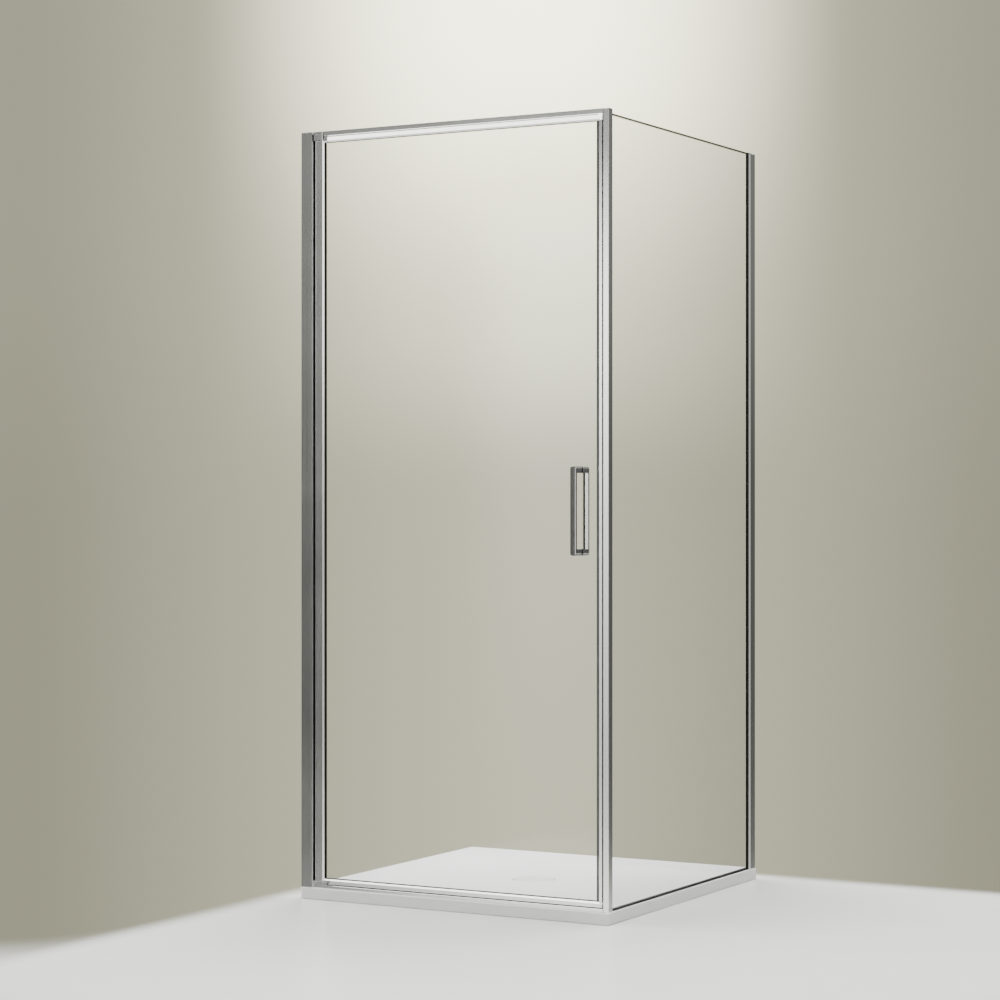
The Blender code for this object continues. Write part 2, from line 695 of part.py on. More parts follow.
def make_sill():
    """Low hollow threshold under the door, with an upstand that keeps the water in."""
    lip = FRAME_DEPTH - STOP_LIP_THICKNESS
    outer = [
        (0, 0),
        (FRAME_DEPTH, 0),
        (FRAME_DEPTH, SILL_HEIGHT + SILL_STOP_RISE),
        (lip, SILL_HEIGHT + SILL_STOP_RISE),
        (lip, SILL_HEIGHT),
        (SILL_NOSE, SILL_HEIGHT),
        (0, SILL_HEIGHT - SILL_NOSE),
    ]
    wall = RAIL_WALL
    inner = rectangle(wall, FRAME_DEPTH - wall, wall, SILL_HEIGHT - wall)
    left = X_BLOCK_END + GAP
    right = X_POST - GAP
    mesh = extrusion("sill", [outer, inner], right - left)
    part("sill", mesh, BRIGHT_ALUMINIUM, (centre_of(left, right), Y_FRAME, Z_BASE), ALONG_X)


def countersunk_profile(clearance):
    """Flat head, cone and shank, grown by a clearance all round for the hole that takes it."""
    radius = COUNTERSUNK_RADIUS + clearance
    shank = COUNTERSUNK_SHANK + clearance
    top = OVERRUN if clearance else 0
    return [
        (0, top),
        (radius, top),
        (radius, -clearance),
        (shank, -COUNTERSUNK_HEIGHT - clearance),
        (shank, -COUNTERSUNK_LENGTH),
        (0, -COUNTERSUNK_LENGTH),
    ]


def post_outline():
    """Post in plan: rounded corners, a slot for the side glass and a groove for the closing strip."""
    half = POST_WIDTH / 2
    groove_low = HALF_DOOR - MAGNET_WIDTH / 2 - GAP
    groove_high = HALF_DOOR + MAGNET_WIDTH / 2 + GAP
    slot_floor = FRAME_DEPTH - POST_SLOT_DEPTH
    corner = POST_CORNER
    outline = arc((-half + corner, corner), corner, 180, 270, 3)
    outline += arc((half - corner, corner), corner, 270, 360, 3)
    outline += arc((half - corner, FRAME_DEPTH - corner), corner, 0, 90, 3)
    outline += [
        (HALF_SLOT, FRAME_DEPTH),
        (HALF_SLOT, slot_floor),
        (-HALF_SLOT, slot_floor),
        (-HALF_SLOT, FRAME_DEPTH),
    ]
    outline += arc((-half + corner, FRAME_DEPTH - corner), corner, 90, 180, 3)
    outline += [
        (-half, groove_high),
        (-half + MAGNET_GROOVE, groove_high),
        (-half + MAGNET_GROOVE, groove_low),
        (-half, groove_low),
    ]
    return outline


def fix_rail(carrier, name, height):
    """Countersunk screw through the left wall of the glass slot into the end of a rail."""
    turn = (0, math.pi / 2, 0)
    at = (X_SIDE - HALF_SLOT, Y_FRAME_BACK - COUNTERSUNK_INSET, height)
    hole = profile_mesh(name + "_hole", countersunk_profile(GAP), False)
    cut(carrier, turned(cutter(name + "_hole", hole, at, turn), 16))
    shape = profile_mesh(name, countersunk_profile(0), False)
    turned(part(name, shape, STEEL, (at[0] - GAP, at[1], height), turn), 16)


def make_post():
    """Hollow corner post on a foot as high as the sill, with a cap in its chamber."""
    half = POST_WIDTH / 2
    back = FRAME_DEPTH - POST_SLOT_DEPTH - POST_CORNER
    front = back - POST_CHAMBER_DEPTH
    inner = rectangle(-POST_CHAMBER_WIDTH / 2, POST_CHAMBER_WIDTH / 2, front, back)
    low, high = Z_SILL + GAP, Z_TOP - CAP_THICKNESS - GAP
    mesh = extrusion("corner_post", [post_outline(), inner], high - low)
    post = part("corner_post", mesh, BRIGHT_ALUMINIUM, (X_SIDE, Y_FRAME, centre_of(low, high)))
    fix_rail(post, "head_rail_screw", Z_HEAD + HEAD_SCREW_RISE)

    plug_size = (POST_CHAMBER_WIDTH - 2 * GAP, POST_CHAMBER_DEPTH - 2 * GAP)
    plug_y = Y_FRAME + centre_of(front, back)

    mesh = extrusion("corner_post_foot", [post_outline()], SILL_HEIGHT)
    foot = part("corner_post_foot", mesh, BRIGHT_ALUMINIUM, (X_SIDE, Y_FRAME, centre_of(Z_BASE, Z_SILL)))
    plug = box("post_foot_plug", (*plug_size, CAP_PLUG + SILL_HEIGHT / 2))
    plug_z = centre_of(Z_BASE + SILL_HEIGHT / 2, Z_SILL + CAP_PLUG)
    join(foot, cutter("post_foot_plug", plug, (X_SIDE, plug_y, plug_z)))
    fix_rail(foot, "sill_screw", Z_BASE + SILL_HEIGHT / 2)

    radii = (POST_CORNER,) * 4
    plate = extrusion("corner_post_cap", [rounded_rectangle(-half, half, 0, FRAME_DEPTH, radii, 3)], CAP_THICKNESS)
    cap = part("corner_post_cap", plate, CAP_GREY, (X_SIDE, Y_FRAME, Z_TOP - CAP_THICKNESS / 2))
    round_edges(cap, CAP_EDGE, 2)
    plug = box("post_cap_plug", (*plug_size, CAP_PLUG + CAP_THICKNESS / 2))
    plug_z = centre_of(Z_TOP - CAP_THICKNESS / 2, Z_TOP - CAP_THICKNESS - CAP_PLUG)
    join(cap, cutter("post_cap_plug", plug, (X_SIDE, plug_y, plug_z)))


def make_post_magnet():
    """Closing strip in the post's groove."""
    left = X_POST - POST_MAGNET_PROUD
    right = X_POST + MAGNET_GROOVE - GAP
    low, high = Z_BOTTOM_RAIL + GAP, Z_TOP_RAIL - GAP
    strip = box("post_magnet_strip", (right - left, MAGNET_WIDTH, high - low))
    part("post_magnet_strip", strip, BLACK_SEAL, (centre_of(left, right), Y_LEAF, centre_of(low, high)))


# Pivots


def make_top_block():
    """Block over the hinge stile. One tongue sits in the wall channel above the jamb, one in the head rail."""
    left = X_WALL + CHANNEL_WIDTH + GAP
    right = X_PIVOT + TOP_BLOCK_REACH
    middle_y = centre_of(Y_FRAME, Y_FRAME_BACK)
    radii = (TOP_BLOCK_CORNER,) * 4
    outline = rounded_rectangle(left, right, Y_FRAME, Y_FRAME_BACK, radii, 3)
    mesh = extrusion("pivot_block_top", [outline], TOP_BLOCK_HEIGHT)
    block = part("pivot_block_top", mesh, BRIGHT_ALUMINIUM, (0, 0, centre_of(Z_BLOCK_TOP, Z_TOP)))

    height = HEAD_RAIL_HEIGHT - 2 * RAIL_WALL - 2 * GAP
    root = right - TOP_BLOCK_REACH / 2
    tip = right + TOP_TONGUE_LENGTH
    tongue = box("rail_tongue", (tip - root, TOP_TONGUE_WIDTH, height))
    join(block, cutter("rail_tongue", tongue, (centre_of(root, tip), middle_y, Z_HEAD + HEAD_RAIL_HEIGHT / 2)))

    width = FRAME_DEPTH - 2 * TOP_BLOCK_CORNER
    root = left + WALL_TONGUE_LENGTH / 2
    tip = left - WALL_TONGUE_LENGTH
    tongue = box("wall_tongue", (root - tip, width, WALL_TONGUE_HEIGHT))
    z_tongue = Z_BLOCK_TOP + TOP_BLOCK_CORNER + WALL_TONGUE_HEIGHT / 2
    join(block, cutter("wall_tongue", tongue, (centre_of(tip, root), middle_y, z_tongue)))

    socket_height = PIN_IN_BLOCK + GAP + OVERRUN
    socket = cylinder("top_socket", PIN_RADIUS + GAP, socket_height)
    socket_z = Z_BLOCK_TOP - OVERRUN + socket_height / 2
    cut(block, cutter("top_socket", socket, (X_PIVOT, Y_LEAF, socket_z)))

    z_grub = Z_TOP - GRUB_DROP - GRUB_RADIUS
    depth = Y_LEAF - Y_FRAME
    hole = cylinder("grub_hole", GRUB_RADIUS + GAP, depth + OVERRUN, 16)
    cut(block, cutter("grub_hole", hole, (X_PIVOT, Y_FRAME + (depth - OVERRUN) / 2, z_grub), ALONG_Y))
    tip = -(depth - GRUB_INSET - PIN_RADIUS - GAP)
    profile = [
        (0, -DRIVE_DEPTH),
        (DRIVE_RADIUS / 2, -DRIVE_DEPTH),
        (DRIVE_RADIUS / 2, 0),
        (GRUB_RADIUS, 0),
        (GRUB_RADIUS, tip),
        (0, tip),
    ]
    shape = profile_mesh("pivot_grub_screw", profile, False)
    at = (X_PIVOT, Y_FRAME + GRUB_INSET, z_grub)
    turned(part("pivot_grub_screw", shape, STEEL, at, (math.pi / 2, 0, 0)), 16)


def make_bottom_block():
    """Block under the hinge stile, stepping down to the sill's height on a round shoulder."""
    step = Z_BLOCK_BOTTOM - Z_SILL
    left = X_JAMB + GAP - X_PIVOT
    tall = BOTTOM_BLOCK_TALL
    low = SILL_HEIGHT
    end = X_BLOCK_END - X_PIVOT
    outline = [(left, 0), (end, 0), (end, low)]
    outline += arc((tall, low), step, 0, 90, 6)
    outline += [(left, BOTTOM_BLOCK_RISE)]
    mesh = extrusion("pivot_block_bottom", [outline], FRAME_DEPTH)
    at = (X_PIVOT, centre_of(Y_FRAME, Y_FRAME_BACK), Z_BASE)
    block = part("pivot_block_bottom", mesh, BRIGHT_ALUMINIUM, at, ALONG_Y)
    socket_height = PIN_IN_BOTTOM_BLOCK + GAP + OVERRUN
    socket = cylinder("bottom_socket", PIN_RADIUS + GAP, socket_height)
    socket_z = Z_BLOCK_BOTTOM + OVERRUN - socket_height / 2
    cut(block, cutter("bottom_socket", socket, (X_PIVOT, Y_LEAF, socket_z)))


def make_pin(name, low, high):
    """Steel pin with small chamfers, fixed in its block."""
    chamfer = PIN_CHAMFER
    profile = [
        (0, high),
        (PIN_RADIUS - chamfer, high),
        (PIN_RADIUS, high - chamfer),
        (PIN_RADIUS, low + chamfer),
        (PIN_RADIUS - chamfer, low),
        (0, low),
    ]
    turned(part(name, profile_mesh(name, profile, False), STEEL, (X_PIVOT, Y_LEAF, 0)), 24)


def make_bush(name, flange_level, sign, leaf):
    """Flanged nylon bush in the end of the hinge stile. Sign is the way from the flange into the stile."""
    inner = PIN_RADIUS + GAP
    outer = inner + BUSH_WALL
    heights = (0, BUSH_FLANGE_THICKNESS, BUSH_FLANGE_THICKNESS + BUSH_LENGTH)
    profile = [
        (inner, heights[2]),
        (outer, heights[2]),
        (outer, heights[1]),
        (BUSH_FLANGE_RADIUS, heights[1]),
        (BUSH_FLANGE_RADIUS, heights[0]),
        (inner, heights[0]),
    ]
    turn = UPRIGHT if sign > 0 else (math.pi, 0, 0)
    shape = profile_mesh(name, profile, True)
    turned(part(name, shape, BUSH_NYLON, (X_PIVOT, Y_LEAF, flange_level), turn, leaf), 24)


# Door leaf


def make_hinge_stile(leaf):
    """Stile with a round hinge edge about the pivot, a bore for the bushes and a slot for the glass."""
    flat_end = STILE_REACH - LIP_CHAMFER
    slot = STILE_REACH - SLOT_DEPTH
    outer = arc((0, 0), HALF_DOOR, 90, 270, 12)
    outer += [
        (flat_end, -HALF_DOOR),
        (STILE_REACH, -HALF_DOOR + LIP_CHAMFER),
        (STILE_REACH, -HALF_SLOT),
        (slot, -HALF_SLOT),
        (slot, HALF_SLOT),
        (STILE_REACH, HALF_SLOT),
        (STILE_REACH, HALF_DOOR - LIP_CHAMFER),
        (flat_end, HALF_DOOR),
    ]
    bore = circle((0, 0), PIN_RADIUS + GAP + BUSH_WALL + GAP, 24)
    mesh = extrusion("door_hinge_stile", [outer, bore], Z_STILE_TOP - Z_STILE_BOTTOM)
    at = (X_PIVOT, Y_LEAF, centre_of(Z_STILE_BOTTOM, Z_STILE_TOP))
    part("door_hinge_stile", mesh, BRIGHT_ALUMINIUM, at, carrier=leaf)


def make_lock_stile(leaf):
    """Slim closing stile: a slot for the glass, a groove for the magnet and a port for the corner screws."""
    groove = MAGNET_WIDTH / 2 + GAP
    width = LOCK_STILE_WIDTH
    outer = [
        (0, -HALF_SLOT),
        (0, -HALF_DOOR + LIP_CHAMFER),
        (LIP_CHAMFER, -HALF_DOOR),
        (width, -HALF_DOOR),
        (width, -groove),
        (width - MAGNET_GROOVE, -groove),
        (width - MAGNET_GROOVE, groove),
        (width, groove),
        (width, HALF_DOOR),
        (LIP_CHAMFER, HALF_DOOR),
        (0, HALF_DOOR - LIP_CHAMFER),
        (0, HALF_SLOT),
        (SLOT_DEPTH, HALF_SLOT),
        (SLOT_DEPTH, -HALF_SLOT),
    ]
    port = circle((CORNER_SCREW_INSET, 0), CORNER_SCREW_RADIUS + GAP, 12)
    low, high = Z_BOTTOM_RAIL + GAP, Z_TOP_RAIL - GAP
    mesh = extrusion("door_lock_stile", [outer, port], high - low)
    at = (X_LOCK_LIP, Y_LEAF, centre_of(low, high))
    part("door_lock_stile", mesh, BRIGHT_ALUMINIUM, at, carrier=leaf)


def rail_outline(height):
    """Glazed rail seen from its end: a slot and two bevelled lips at the top, flat below."""
    slot_floor = height - SLOT_DEPTH
    return [
        (-HALF_DOOR, 0),
        (HALF_DOOR, 0),
        (HALF_DOOR, height - LIP_CHAMFER),
        (HALF_DOOR - LIP_CHAMFER, height),
        (HALF_SLOT, height),
        (HALF_SLOT, slot_floor),
        (-HALF_SLOT, slot_floor),
        (-HALF_SLOT, height),
        (-HALF_DOOR + LIP_CHAMFER, height),
        (-HALF_DOOR, height - LIP_CHAMFER),
    ]


def hollow(rail, left, right, low, high):
    """Chamber in a door rail, open at the hinge end."""
    length = right - left - CHAMBER_END + OVERRUN
    chamber = box("rail_chamber", (length, DOOR_THICKNESS - 2 * RAIL_WALL, high - low))
    cut(rail, cutter("rail_chamber", chamber, (left - OVERRUN + length / 2, Y_LEAF, centre_of(low, high))))


def add_corner_tongue(corner, x_joint, low, high):
    """Tongue of a corner block in the chamber of its rail."""
    root = x_joint - CORNER_TONGUE / 2
    tip = x_joint + CORNER_TONGUE
    width = DOOR_THICKNESS - 2 * RAIL_WALL - 2 * GAP
    tongue = box("corner_tongue", (tip - root, width, high - low - 2 * GAP))
    join(corner, cutter("corner_tongue", tongue, (centre_of(root, tip), Y_LEAF, centre_of(low, high))))


def fix_corner(rail, name, rail_face, rail_height, sign, leaf):
    """Screw from a rail's outer face into the port of the lock stile. Sign is the way from head to tip."""
    x = X_LOCK_LIP + CORNER_SCREW_INSET
    hole = cylinder("corner_hole", CORNER_SCREW_RADIUS + GAP, 2 * (rail_height + OVERRUN), 12)
    cut(rail, cutter("corner_hole", hole, (x, Y_LEAF, rail_face)))
    depth = CORNER_HEAD_HEIGHT + 2 * GAP
    sink = cylinder("corner_sink", CORNER_HEAD_RADIUS + GAP, 2 * depth, 16)
    cut(rail, cutter("corner_sink", sink, (x, Y_LEAF, rail_face)))
    tip = -rail_height - CORNER_SCREW_GRIP
    drive = DRIVE_RADIUS / 2
    profile = [
        (0, -DRIVE_DEPTH),
        (drive, -DRIVE_DEPTH),
        (drive, 0),
        (CORNER_HEAD_RADIUS, 0),
        (CORNER_HEAD_RADIUS, -CORNER_HEAD_HEIGHT),
        (CORNER_SCREW_RADIUS, -CORNER_HEAD_HEIGHT),
        (CORNER_SCREW_RADIUS, tip),
        (0, tip),
    ]
    turn = UPRIGHT if sign < 0 else (math.pi, 0, 0)
    shape = profile_mesh(name, profile, False)
    turned(part(name, shape, STEEL, (x, Y_LEAF, rail_face + sign * GAP), turn, leaf), 12)


def make_top_rail(leaf):
    """Upper rail of the leaf over the lock stile, and the block that joins it to the hinge stile."""
    joint = X_STILE + GAP + TOP_CORNER_LENGTH
    spans = (
        ("door_corner_top", X_STILE + GAP, joint),
        ("door_top_rail", joint + GAP, X_LOCK),
    )
    low = Z_TOP_RAIL + SLOT_DEPTH + RAIL_WALL
    high = Z_LEAF_TOP - RAIL_WALL
    pieces = []
    for name, left, right in spans:
        outline = raised(rail_outline(TOP_RAIL_HEIGHT), -1, 0)
        mesh = extrusion(name, [outline], right - left)
        at = (centre_of(left, right), Y_LEAF, Z_LEAF_TOP)
        pieces.append(part(name, mesh, BRIGHT_ALUMINIUM, at, ALONG_X, leaf))
    corner, rail = pieces
    add_corner_tongue(corner, joint, low, high)
    hollow(rail, joint, X_LOCK, low, high)
    fix_corner(rail, "lock_corner_screw_top", Z_LEAF_TOP, TOP_RAIL_HEIGHT, -1, leaf)


def make_bottom_rail(leaf):
    """Lower rail of the leaf with a groove for the wiper, and the block that is notched over the pivot block."""
    joint = X_STILE + GAP + BOTTOM_CORNER_LENGTH
    groove = WIPER_WIDTH / 2 + GAP
    near, far = WIPER_OFFSET - groove, WIPER_OFFSET + groove
    grooved = rail_outline(BOTTOM_RAIL_HEIGHT)
    grooved[1:1] = [(near, 0), (near, WIPER_GROOVE), (far, WIPER_GROOVE), (far, 0)]
    spans = (
        ("door_corner_bottom", X_STILE + GAP, joint, rail_outline(BOTTOM_RAIL_HEIGHT)),
        ("door_bottom_rail", joint + GAP, X_LOCK, grooved),
    )
    low = Z_LEAF_BOTTOM + WIPER_GROOVE + RAIL_WALL
    high = Z_BOTTOM_RAIL - SLOT_DEPTH - RAIL_WALL
    pieces = []
    for name, left, right, outline in spans:
        mesh = extrusion(name, [outline], right - left)
        at = (centre_of(left, right), Y_LEAF, Z_LEAF_BOTTOM)
        pieces.append(part(name, mesh, BRIGHT_ALUMINIUM, at, ALONG_X, leaf))
    corner, rail = pieces
    add_corner_tongue(corner, joint, low, high)
    hollow(rail, joint, X_LOCK, low, high)
    fix_corner(rail, "lock_corner_screw_bottom", Z_LEAF_BOTTOM, BOTTOM_RAIL_HEIGHT, 1, leaf)

    rise = Z_NOTCH - Z_LEAF_BOTTOM
    start = -NOTCH_REACH - BOTTOM_BLOCK_TALL
    notch = [(start, -OVERRUN), (rise, -OVERRUN)] + arc((0, 0), rise, 0, 90, 6) + [(start, rise)]
    shape = extrusion("block_notch", [notch], DOOR_THICKNESS + 2 * OVERRUN)
    cut(corner, cutter("block_notch", shape, (X_NOTCH, Y_LEAF, Z_LEAF_BOTTOM), ALONG_Y))

    left, right = joint + GAP, X_LOCK
    low = Z_SILL + GAP
    high = Z_LEAF_BOTTOM + WIPER_GROOVE - GAP
    strip = box("door_wiper_seal", (right - left, WIPER_WIDTH, high - low))
    at = (centre_of(left, right), Y_LEAF + WIPER_OFFSET, centre_of(low, high))
    part("door_wiper_seal", strip, BLACK_SEAL, at, carrier=leaf)


def make_door_glass(leaf):
    """Pane of toughened glass with ground edges and two holes for the handles."""
    size = (X_DOOR_GLASS_RIGHT - X_DOOR_GLASS_LEFT, GLASS_THICKNESS, Z_DOOR_GLASS_TOP - Z_DOOR_GLASS_BOTTOM)
    at = (
        centre_of(X_DOOR_GLASS_LEFT, X_DOOR_GLASS_RIGHT),
        Y_LEAF,
        centre_of(Z_DOOR_GLASS_BOTTOM, Z_DOOR_GLASS_TOP),
    )
    glass = part("door_glass", box("door_glass", size), CLEAR_GLASS, at, carrier=leaf)
    round_edges(glass, GLASS_EDGE)
    for height in stud_levels():
        hole = cylinder("glass_hole", SLEEVE_RADIUS + GAP, 2 * GLASS_THICKNESS)
        cut(glass, cutter("glass_hole", hole, (X_HANDLE, Y_LEAF, height), ALONG_Y))


def make_door_gaskets(leaf):
    """Four black U gaskets between the pane and the frame of the leaf."""
    seat = SLOT_DEPTH - GAP
    low = Z_BOTTOM_RAIL + RAIL_GASKET_REVEAL + GAP
    high = Z_TOP_RAIL - RAIL_GASKET_REVEAL - GAP
    stile_gasket = u_gasket(seat + STILE_GASKET_REVEAL)
    for name, x, sign in (
        ("door_hinge_gasket", X_STILE - seat, 1),
        ("door_lock_gasket", X_LOCK_LIP + seat, -1),
    ):
        mesh = extrusion(name, [swapped(stile_gasket, sign)], high - low)
        part(name, mesh, BLACK_SEAL, (x, Y_LEAF, centre_of(low, high)), carrier=leaf)

    left, right = X_STILE + 2 * GAP, X_DOOR_GLASS_RIGHT
    rail_gasket = u_gasket(seat + RAIL_GASKET_REVEAL)
    for name, z, sign in (
        ("door_top_gasket", Z_TOP_RAIL + seat, -1),
        ("door_bottom_gasket", Z_BOTTOM_RAIL - seat, 1),
    ):
        mesh = extrusion(name, [raised(rail_gasket, sign, 0)], right - left)
        part(name, mesh, BLACK_SEAL, (centre_of(left, right), Y_LEAF, z), ALONG_X, leaf)


def make_door_magnet(leaf):
    """Closing strip in the lock stile's groove."""
    left = X_LOCK - MAGNET_GROOVE + GAP
    right = X_LOCK + DOOR_MAGNET_PROUD
    low, high = Z_BOTTOM_RAIL + GAP, Z_TOP_RAIL - GAP
    strip = box("door_magnet_strip", (right - left, MAGNET_WIDTH, high - low))
    at = (centre_of(left, right), Y_LEAF, centre_of(low, high))
    part("door_magnet_strip", strip, BLACK_SEAL, at, carrier=leaf)


# Handles


def stud_levels():
    reach = HANDLE_HEIGHT / 2 - HANDLE_FOOT / 2
    return (HANDLE_LEVEL + reach, HANDLE_LEVEL - reach)


def make_handle(name, side, leaf):
    """D handle in one casting: a flat bar with round corners on two feet. Side is -1 outside and 1 inside."""
    half = HANDLE_WIDTH / 2
    reach = HANDLE_HEIGHT / 2
    stand_off = WASHER_THICKNESS + 2 * GAP
    depth = HANDLE_PROJECTION - stand_off
    y_glass = Y_LEAF + side * GLASS_THICKNESS / 2
    y_foot = y_glass + side * stand_off
    outline = rounded_rectangle(-half, half, -reach, reach, (HANDLE_CORNER,) * 4, 6)
    at = (X_HANDLE, y_foot + side * depth / 2, HANDLE_LEVEL)
    handle = part(name, extrusion(name, [outline], depth), CHROME, at, ALONG_Y, leaf)
    round_edges(handle, HANDLE_EDGE)
    grip_depth = depth - HANDLE_BAR + OVERRUN
    grip = box("finger_gap", (2 * HANDLE_WIDTH, grip_depth, HANDLE_HEIGHT - 2 * HANDLE_FOOT))
    grip_y = y_foot + side * (depth - HANDLE_BAR - grip_depth / 2)
    cut(handle, cutter("finger_gap", grip, (X_HANDLE, grip_y, HANDLE_LEVEL)))
    for height in stud_levels():
        hole = cylinder("stud_hole", STUD_RADIUS + GAP, 2 * (STUD_GRIP + GAP), 16)
        cut(handle, cutter("stud_hole", hole, (X_HANDLE, y_foot, height), ALONG_Y))


def make_washer(name, side, sign, leaf):
    """Thin black pad of a foot's own outline, between the foot and the glass. Sign is 1 for the upper one."""
    half = HANDLE_WIDTH / 2
    foot = HANDLE_FOOT / 2
    end_radius = (HANDLE_CORNER,) * 2
    inner_radius = (HANDLE_EDGE,) * 2
    radii = inner_radius + end_radius if sign > 0 else end_radius + inner_radius
    outline = rounded_rectangle(-half, half, -foot, foot, radii, 4)
    hole = circle((0, 0), STUD_RADIUS + GAP, 16)
    y = Y_LEAF + side * (GLASS_THICKNESS / 2 + GAP + WASHER_THICKNESS / 2)
    height = stud_levels()[0 if sign > 0 else 1]
    mesh = extrusion(name, [outline, hole], WASHER_THICKNESS)
    part(name, mesh, BLACK_SEAL, (X_HANDLE, y, height), ALONG_Y, leaf)


def make_handles(leaf):
    """Two handles back to back, with their pads, studs and the sleeves in the glass holes."""
    stand_off = WASHER_THICKNESS + 2 * GAP
    for place, side in (("outer", -1), ("inner", 1)):
        make_handle("handle_" + place, side, leaf)
        make_washer("handle_washer_" + place + "_upper", side, 1, leaf)
        make_washer("handle_washer_" + place + "_lower", side, -1, leaf)
    stud_length = GLASS_THICKNESS + 2 * (stand_off + STUD_GRIP)
    ring = [circle((0, 0), SLEEVE_RADIUS, 20), circle((0, 0), STUD_RADIUS + GAP, 20)]
    for place, height in zip(("upper", "lower"), stud_levels()):
        at = (X_HANDLE, Y_LEAF, height)
        stud = cylinder("handle_stud_" + place, STUD_RADIUS, stud_length, 16)
        part("handle_stud_" + place, stud, STEEL, at, ALONG_Y, leaf)
        sleeve = extrusion("handle_sleeve_" + place, ring, GLASS_THICKNESS)
        part("handle_sleeve_" + place, sleeve, CLEAR_SLEEVE, at, ALONG_Y, leaf)


# Side panel


def make_side_channel():
    """Channel on the back wall with bevelled lips, its fixing holes and its cap."""
    half = POST_WIDTH / 2
    tip = HALF_SLOT + SIDE_LIP_EDGE
    outline = [
        (-half, SIDE_CHANNEL_DEPTH),
        (-half, SIDE_LIP_BEVEL),
        (-tip, 0),
        (-HALF_SLOT, 0),
        (-HALF_SLOT, SIDE_CHANNEL_DEPTH - SIDE_CHANNEL_BASE),
        (HALF_SLOT, SIDE_CHANNEL_DEPTH - SIDE_CHANNEL_BASE),
        (HALF_SLOT, 0),
        (tip, 0),
        (half, SIDE_LIP_BEVEL),
        (half, SIDE_CHANNEL_DEPTH),
    ]
    z_top = Z_SIDE_TOP - CAP_THICKNESS - GAP
    mesh = extrusion("wall_channel_side", [outline], z_top - Z_BASE)
    at = (X_SIDE, Y_SIDE_LIP, centre_of(Z_BASE, z_top))
    channel = part("wall_channel_side", mesh, BRIGHT_ALUMINIUM, at)
    for height in spread(Z_BASE, z_top, FIXING_SHARES):
        hole = cylinder("side_wall_hole", WALL_HOLE_RADIUS, SIDE_CHANNEL_BASE + 2 * OVERRUN, 16)
        at = (X_SIDE, Y_WALL - SIDE_CHANNEL_BASE / 2, height)
        cut(channel, cutter("side_wall_hole", hole, at, ALONG_Y))

    glass_back = Y_SIDE_GLASS_BACK - Y_SIDE_LIP + GLASS_SEAT
    slot_floor = SIDE_CHANNEL_DEPTH - SIDE_CHANNEL_BASE
    plate = extrusion("wall_channel_side_cap", [rectangle(-half, half, glass_back, SIDE_CHANNEL_DEPTH)], CAP_THICKNESS)
    cap = part("wall_channel_side_cap", plate, CAP_GREY, (X_SIDE, Y_SIDE_LIP, Z_SIDE_TOP - CAP_THICKNESS / 2))
    plug_y = slot_floor - glass_back - 2 * GAP
    plug = box("side_cap_plug", (SLOT_WIDTH - 2 * GAP, plug_y, CAP_PLUG + CAP_THICKNESS / 2))
    at = (X_SIDE, Y_SIDE_LIP + centre_of(glass_back, slot_floor), Z_SIDE_TOP - CAP_THICKNESS / 2 - CAP_PLUG / 2)
    join(cap, cutter("side_cap_plug", plug, at))


def make_side_glass():
    """Fixed pane between the post and the wall, its top edge bare."""
    low = Z_BASE + BOTTOM_SEAL_BASE + GAP
    size = (GLASS_THICKNESS, Y_SIDE_GLASS_BACK - Y_SIDE_GLASS_FRONT, Z_SIDE_TOP - low)
    at = (X_SIDE, centre_of(Y_SIDE_GLASS_FRONT, Y_SIDE_GLASS_BACK), centre_of(low, Z_SIDE_TOP))
    round_edges(part("side_glass", box("side_glass", size), CLEAR_GLASS, at), GLASS_EDGE)


def make_side_seals():
    """Gaskets in the post and in the wall channel, and the seal along the tray."""
    low = Z_BASE
    high = Z_SIDE_TOP
    post_length = POST_SLOT_DEPTH - 2 * GAP
    mesh = extrusion("side_post_gasket", [u_gasket(post_length)], high - low)
    y_base = Y_FRAME_BACK - POST_SLOT_DEPTH + GAP
    part("side_post_gasket", mesh, BLACK_SEAL, (X_SIDE, y_base, centre_of(low, high)))

    wall_length = SIDE_CHANNEL_GRIP + GLASS_SEAT - GAP + SIDE_GASKET_REVEAL
    mesh = extrusion("side_wall_gasket", [raised(u_gasket(wall_length), -1, 0)], high - low)
    y_base = Y_SIDE_GLASS_BACK + GLASS_SEAT - GAP
    part("side_wall_gasket", mesh, BLACK_SEAL, (X_SIDE, y_base, centre_of(low, high)))

    front = Y_FRAME_BACK + GAP
    back = Y_SIDE_LIP - SIDE_GASKET_REVEAL - GAP
    outline = u_gasket(BOTTOM_SEAL_HEIGHT, BOTTOM_SEAL_BASE)
    mesh = extrusion("side_bottom_seal", [swapped(outline)], back - front)
    turn = (math.pi / 2, -math.pi / 2, 0)
    part("side_bottom_seal", mesh, BLACK_SEAL, (X_SIDE, centre_of(front, back), Z_BASE), turn)


def make_leaf():
    """Every piece that turns with the door, carried by an empty on the pivot axis."""
    leaf = bpy.data.objects.new("door_pivot", None)
    leaf.location = (X_PIVOT, Y_LEAF, Z_BASE)
    parts.objects.link(leaf)
    make_hinge_stile(leaf)
    make_lock_stile(leaf)
    make_top_rail(leaf)
    make_bottom_rail(leaf)
    make_door_glass(leaf)
    make_door_gaskets(leaf)
    make_door_magnet(leaf)
    make_handles(leaf)
    make_bush("pivot_bush_bottom", Z_BLOCK_BOTTOM + GAP, 1, leaf)
    make_bush("pivot_bush_top", Z_BLOCK_TOP - GAP, -1, leaf)


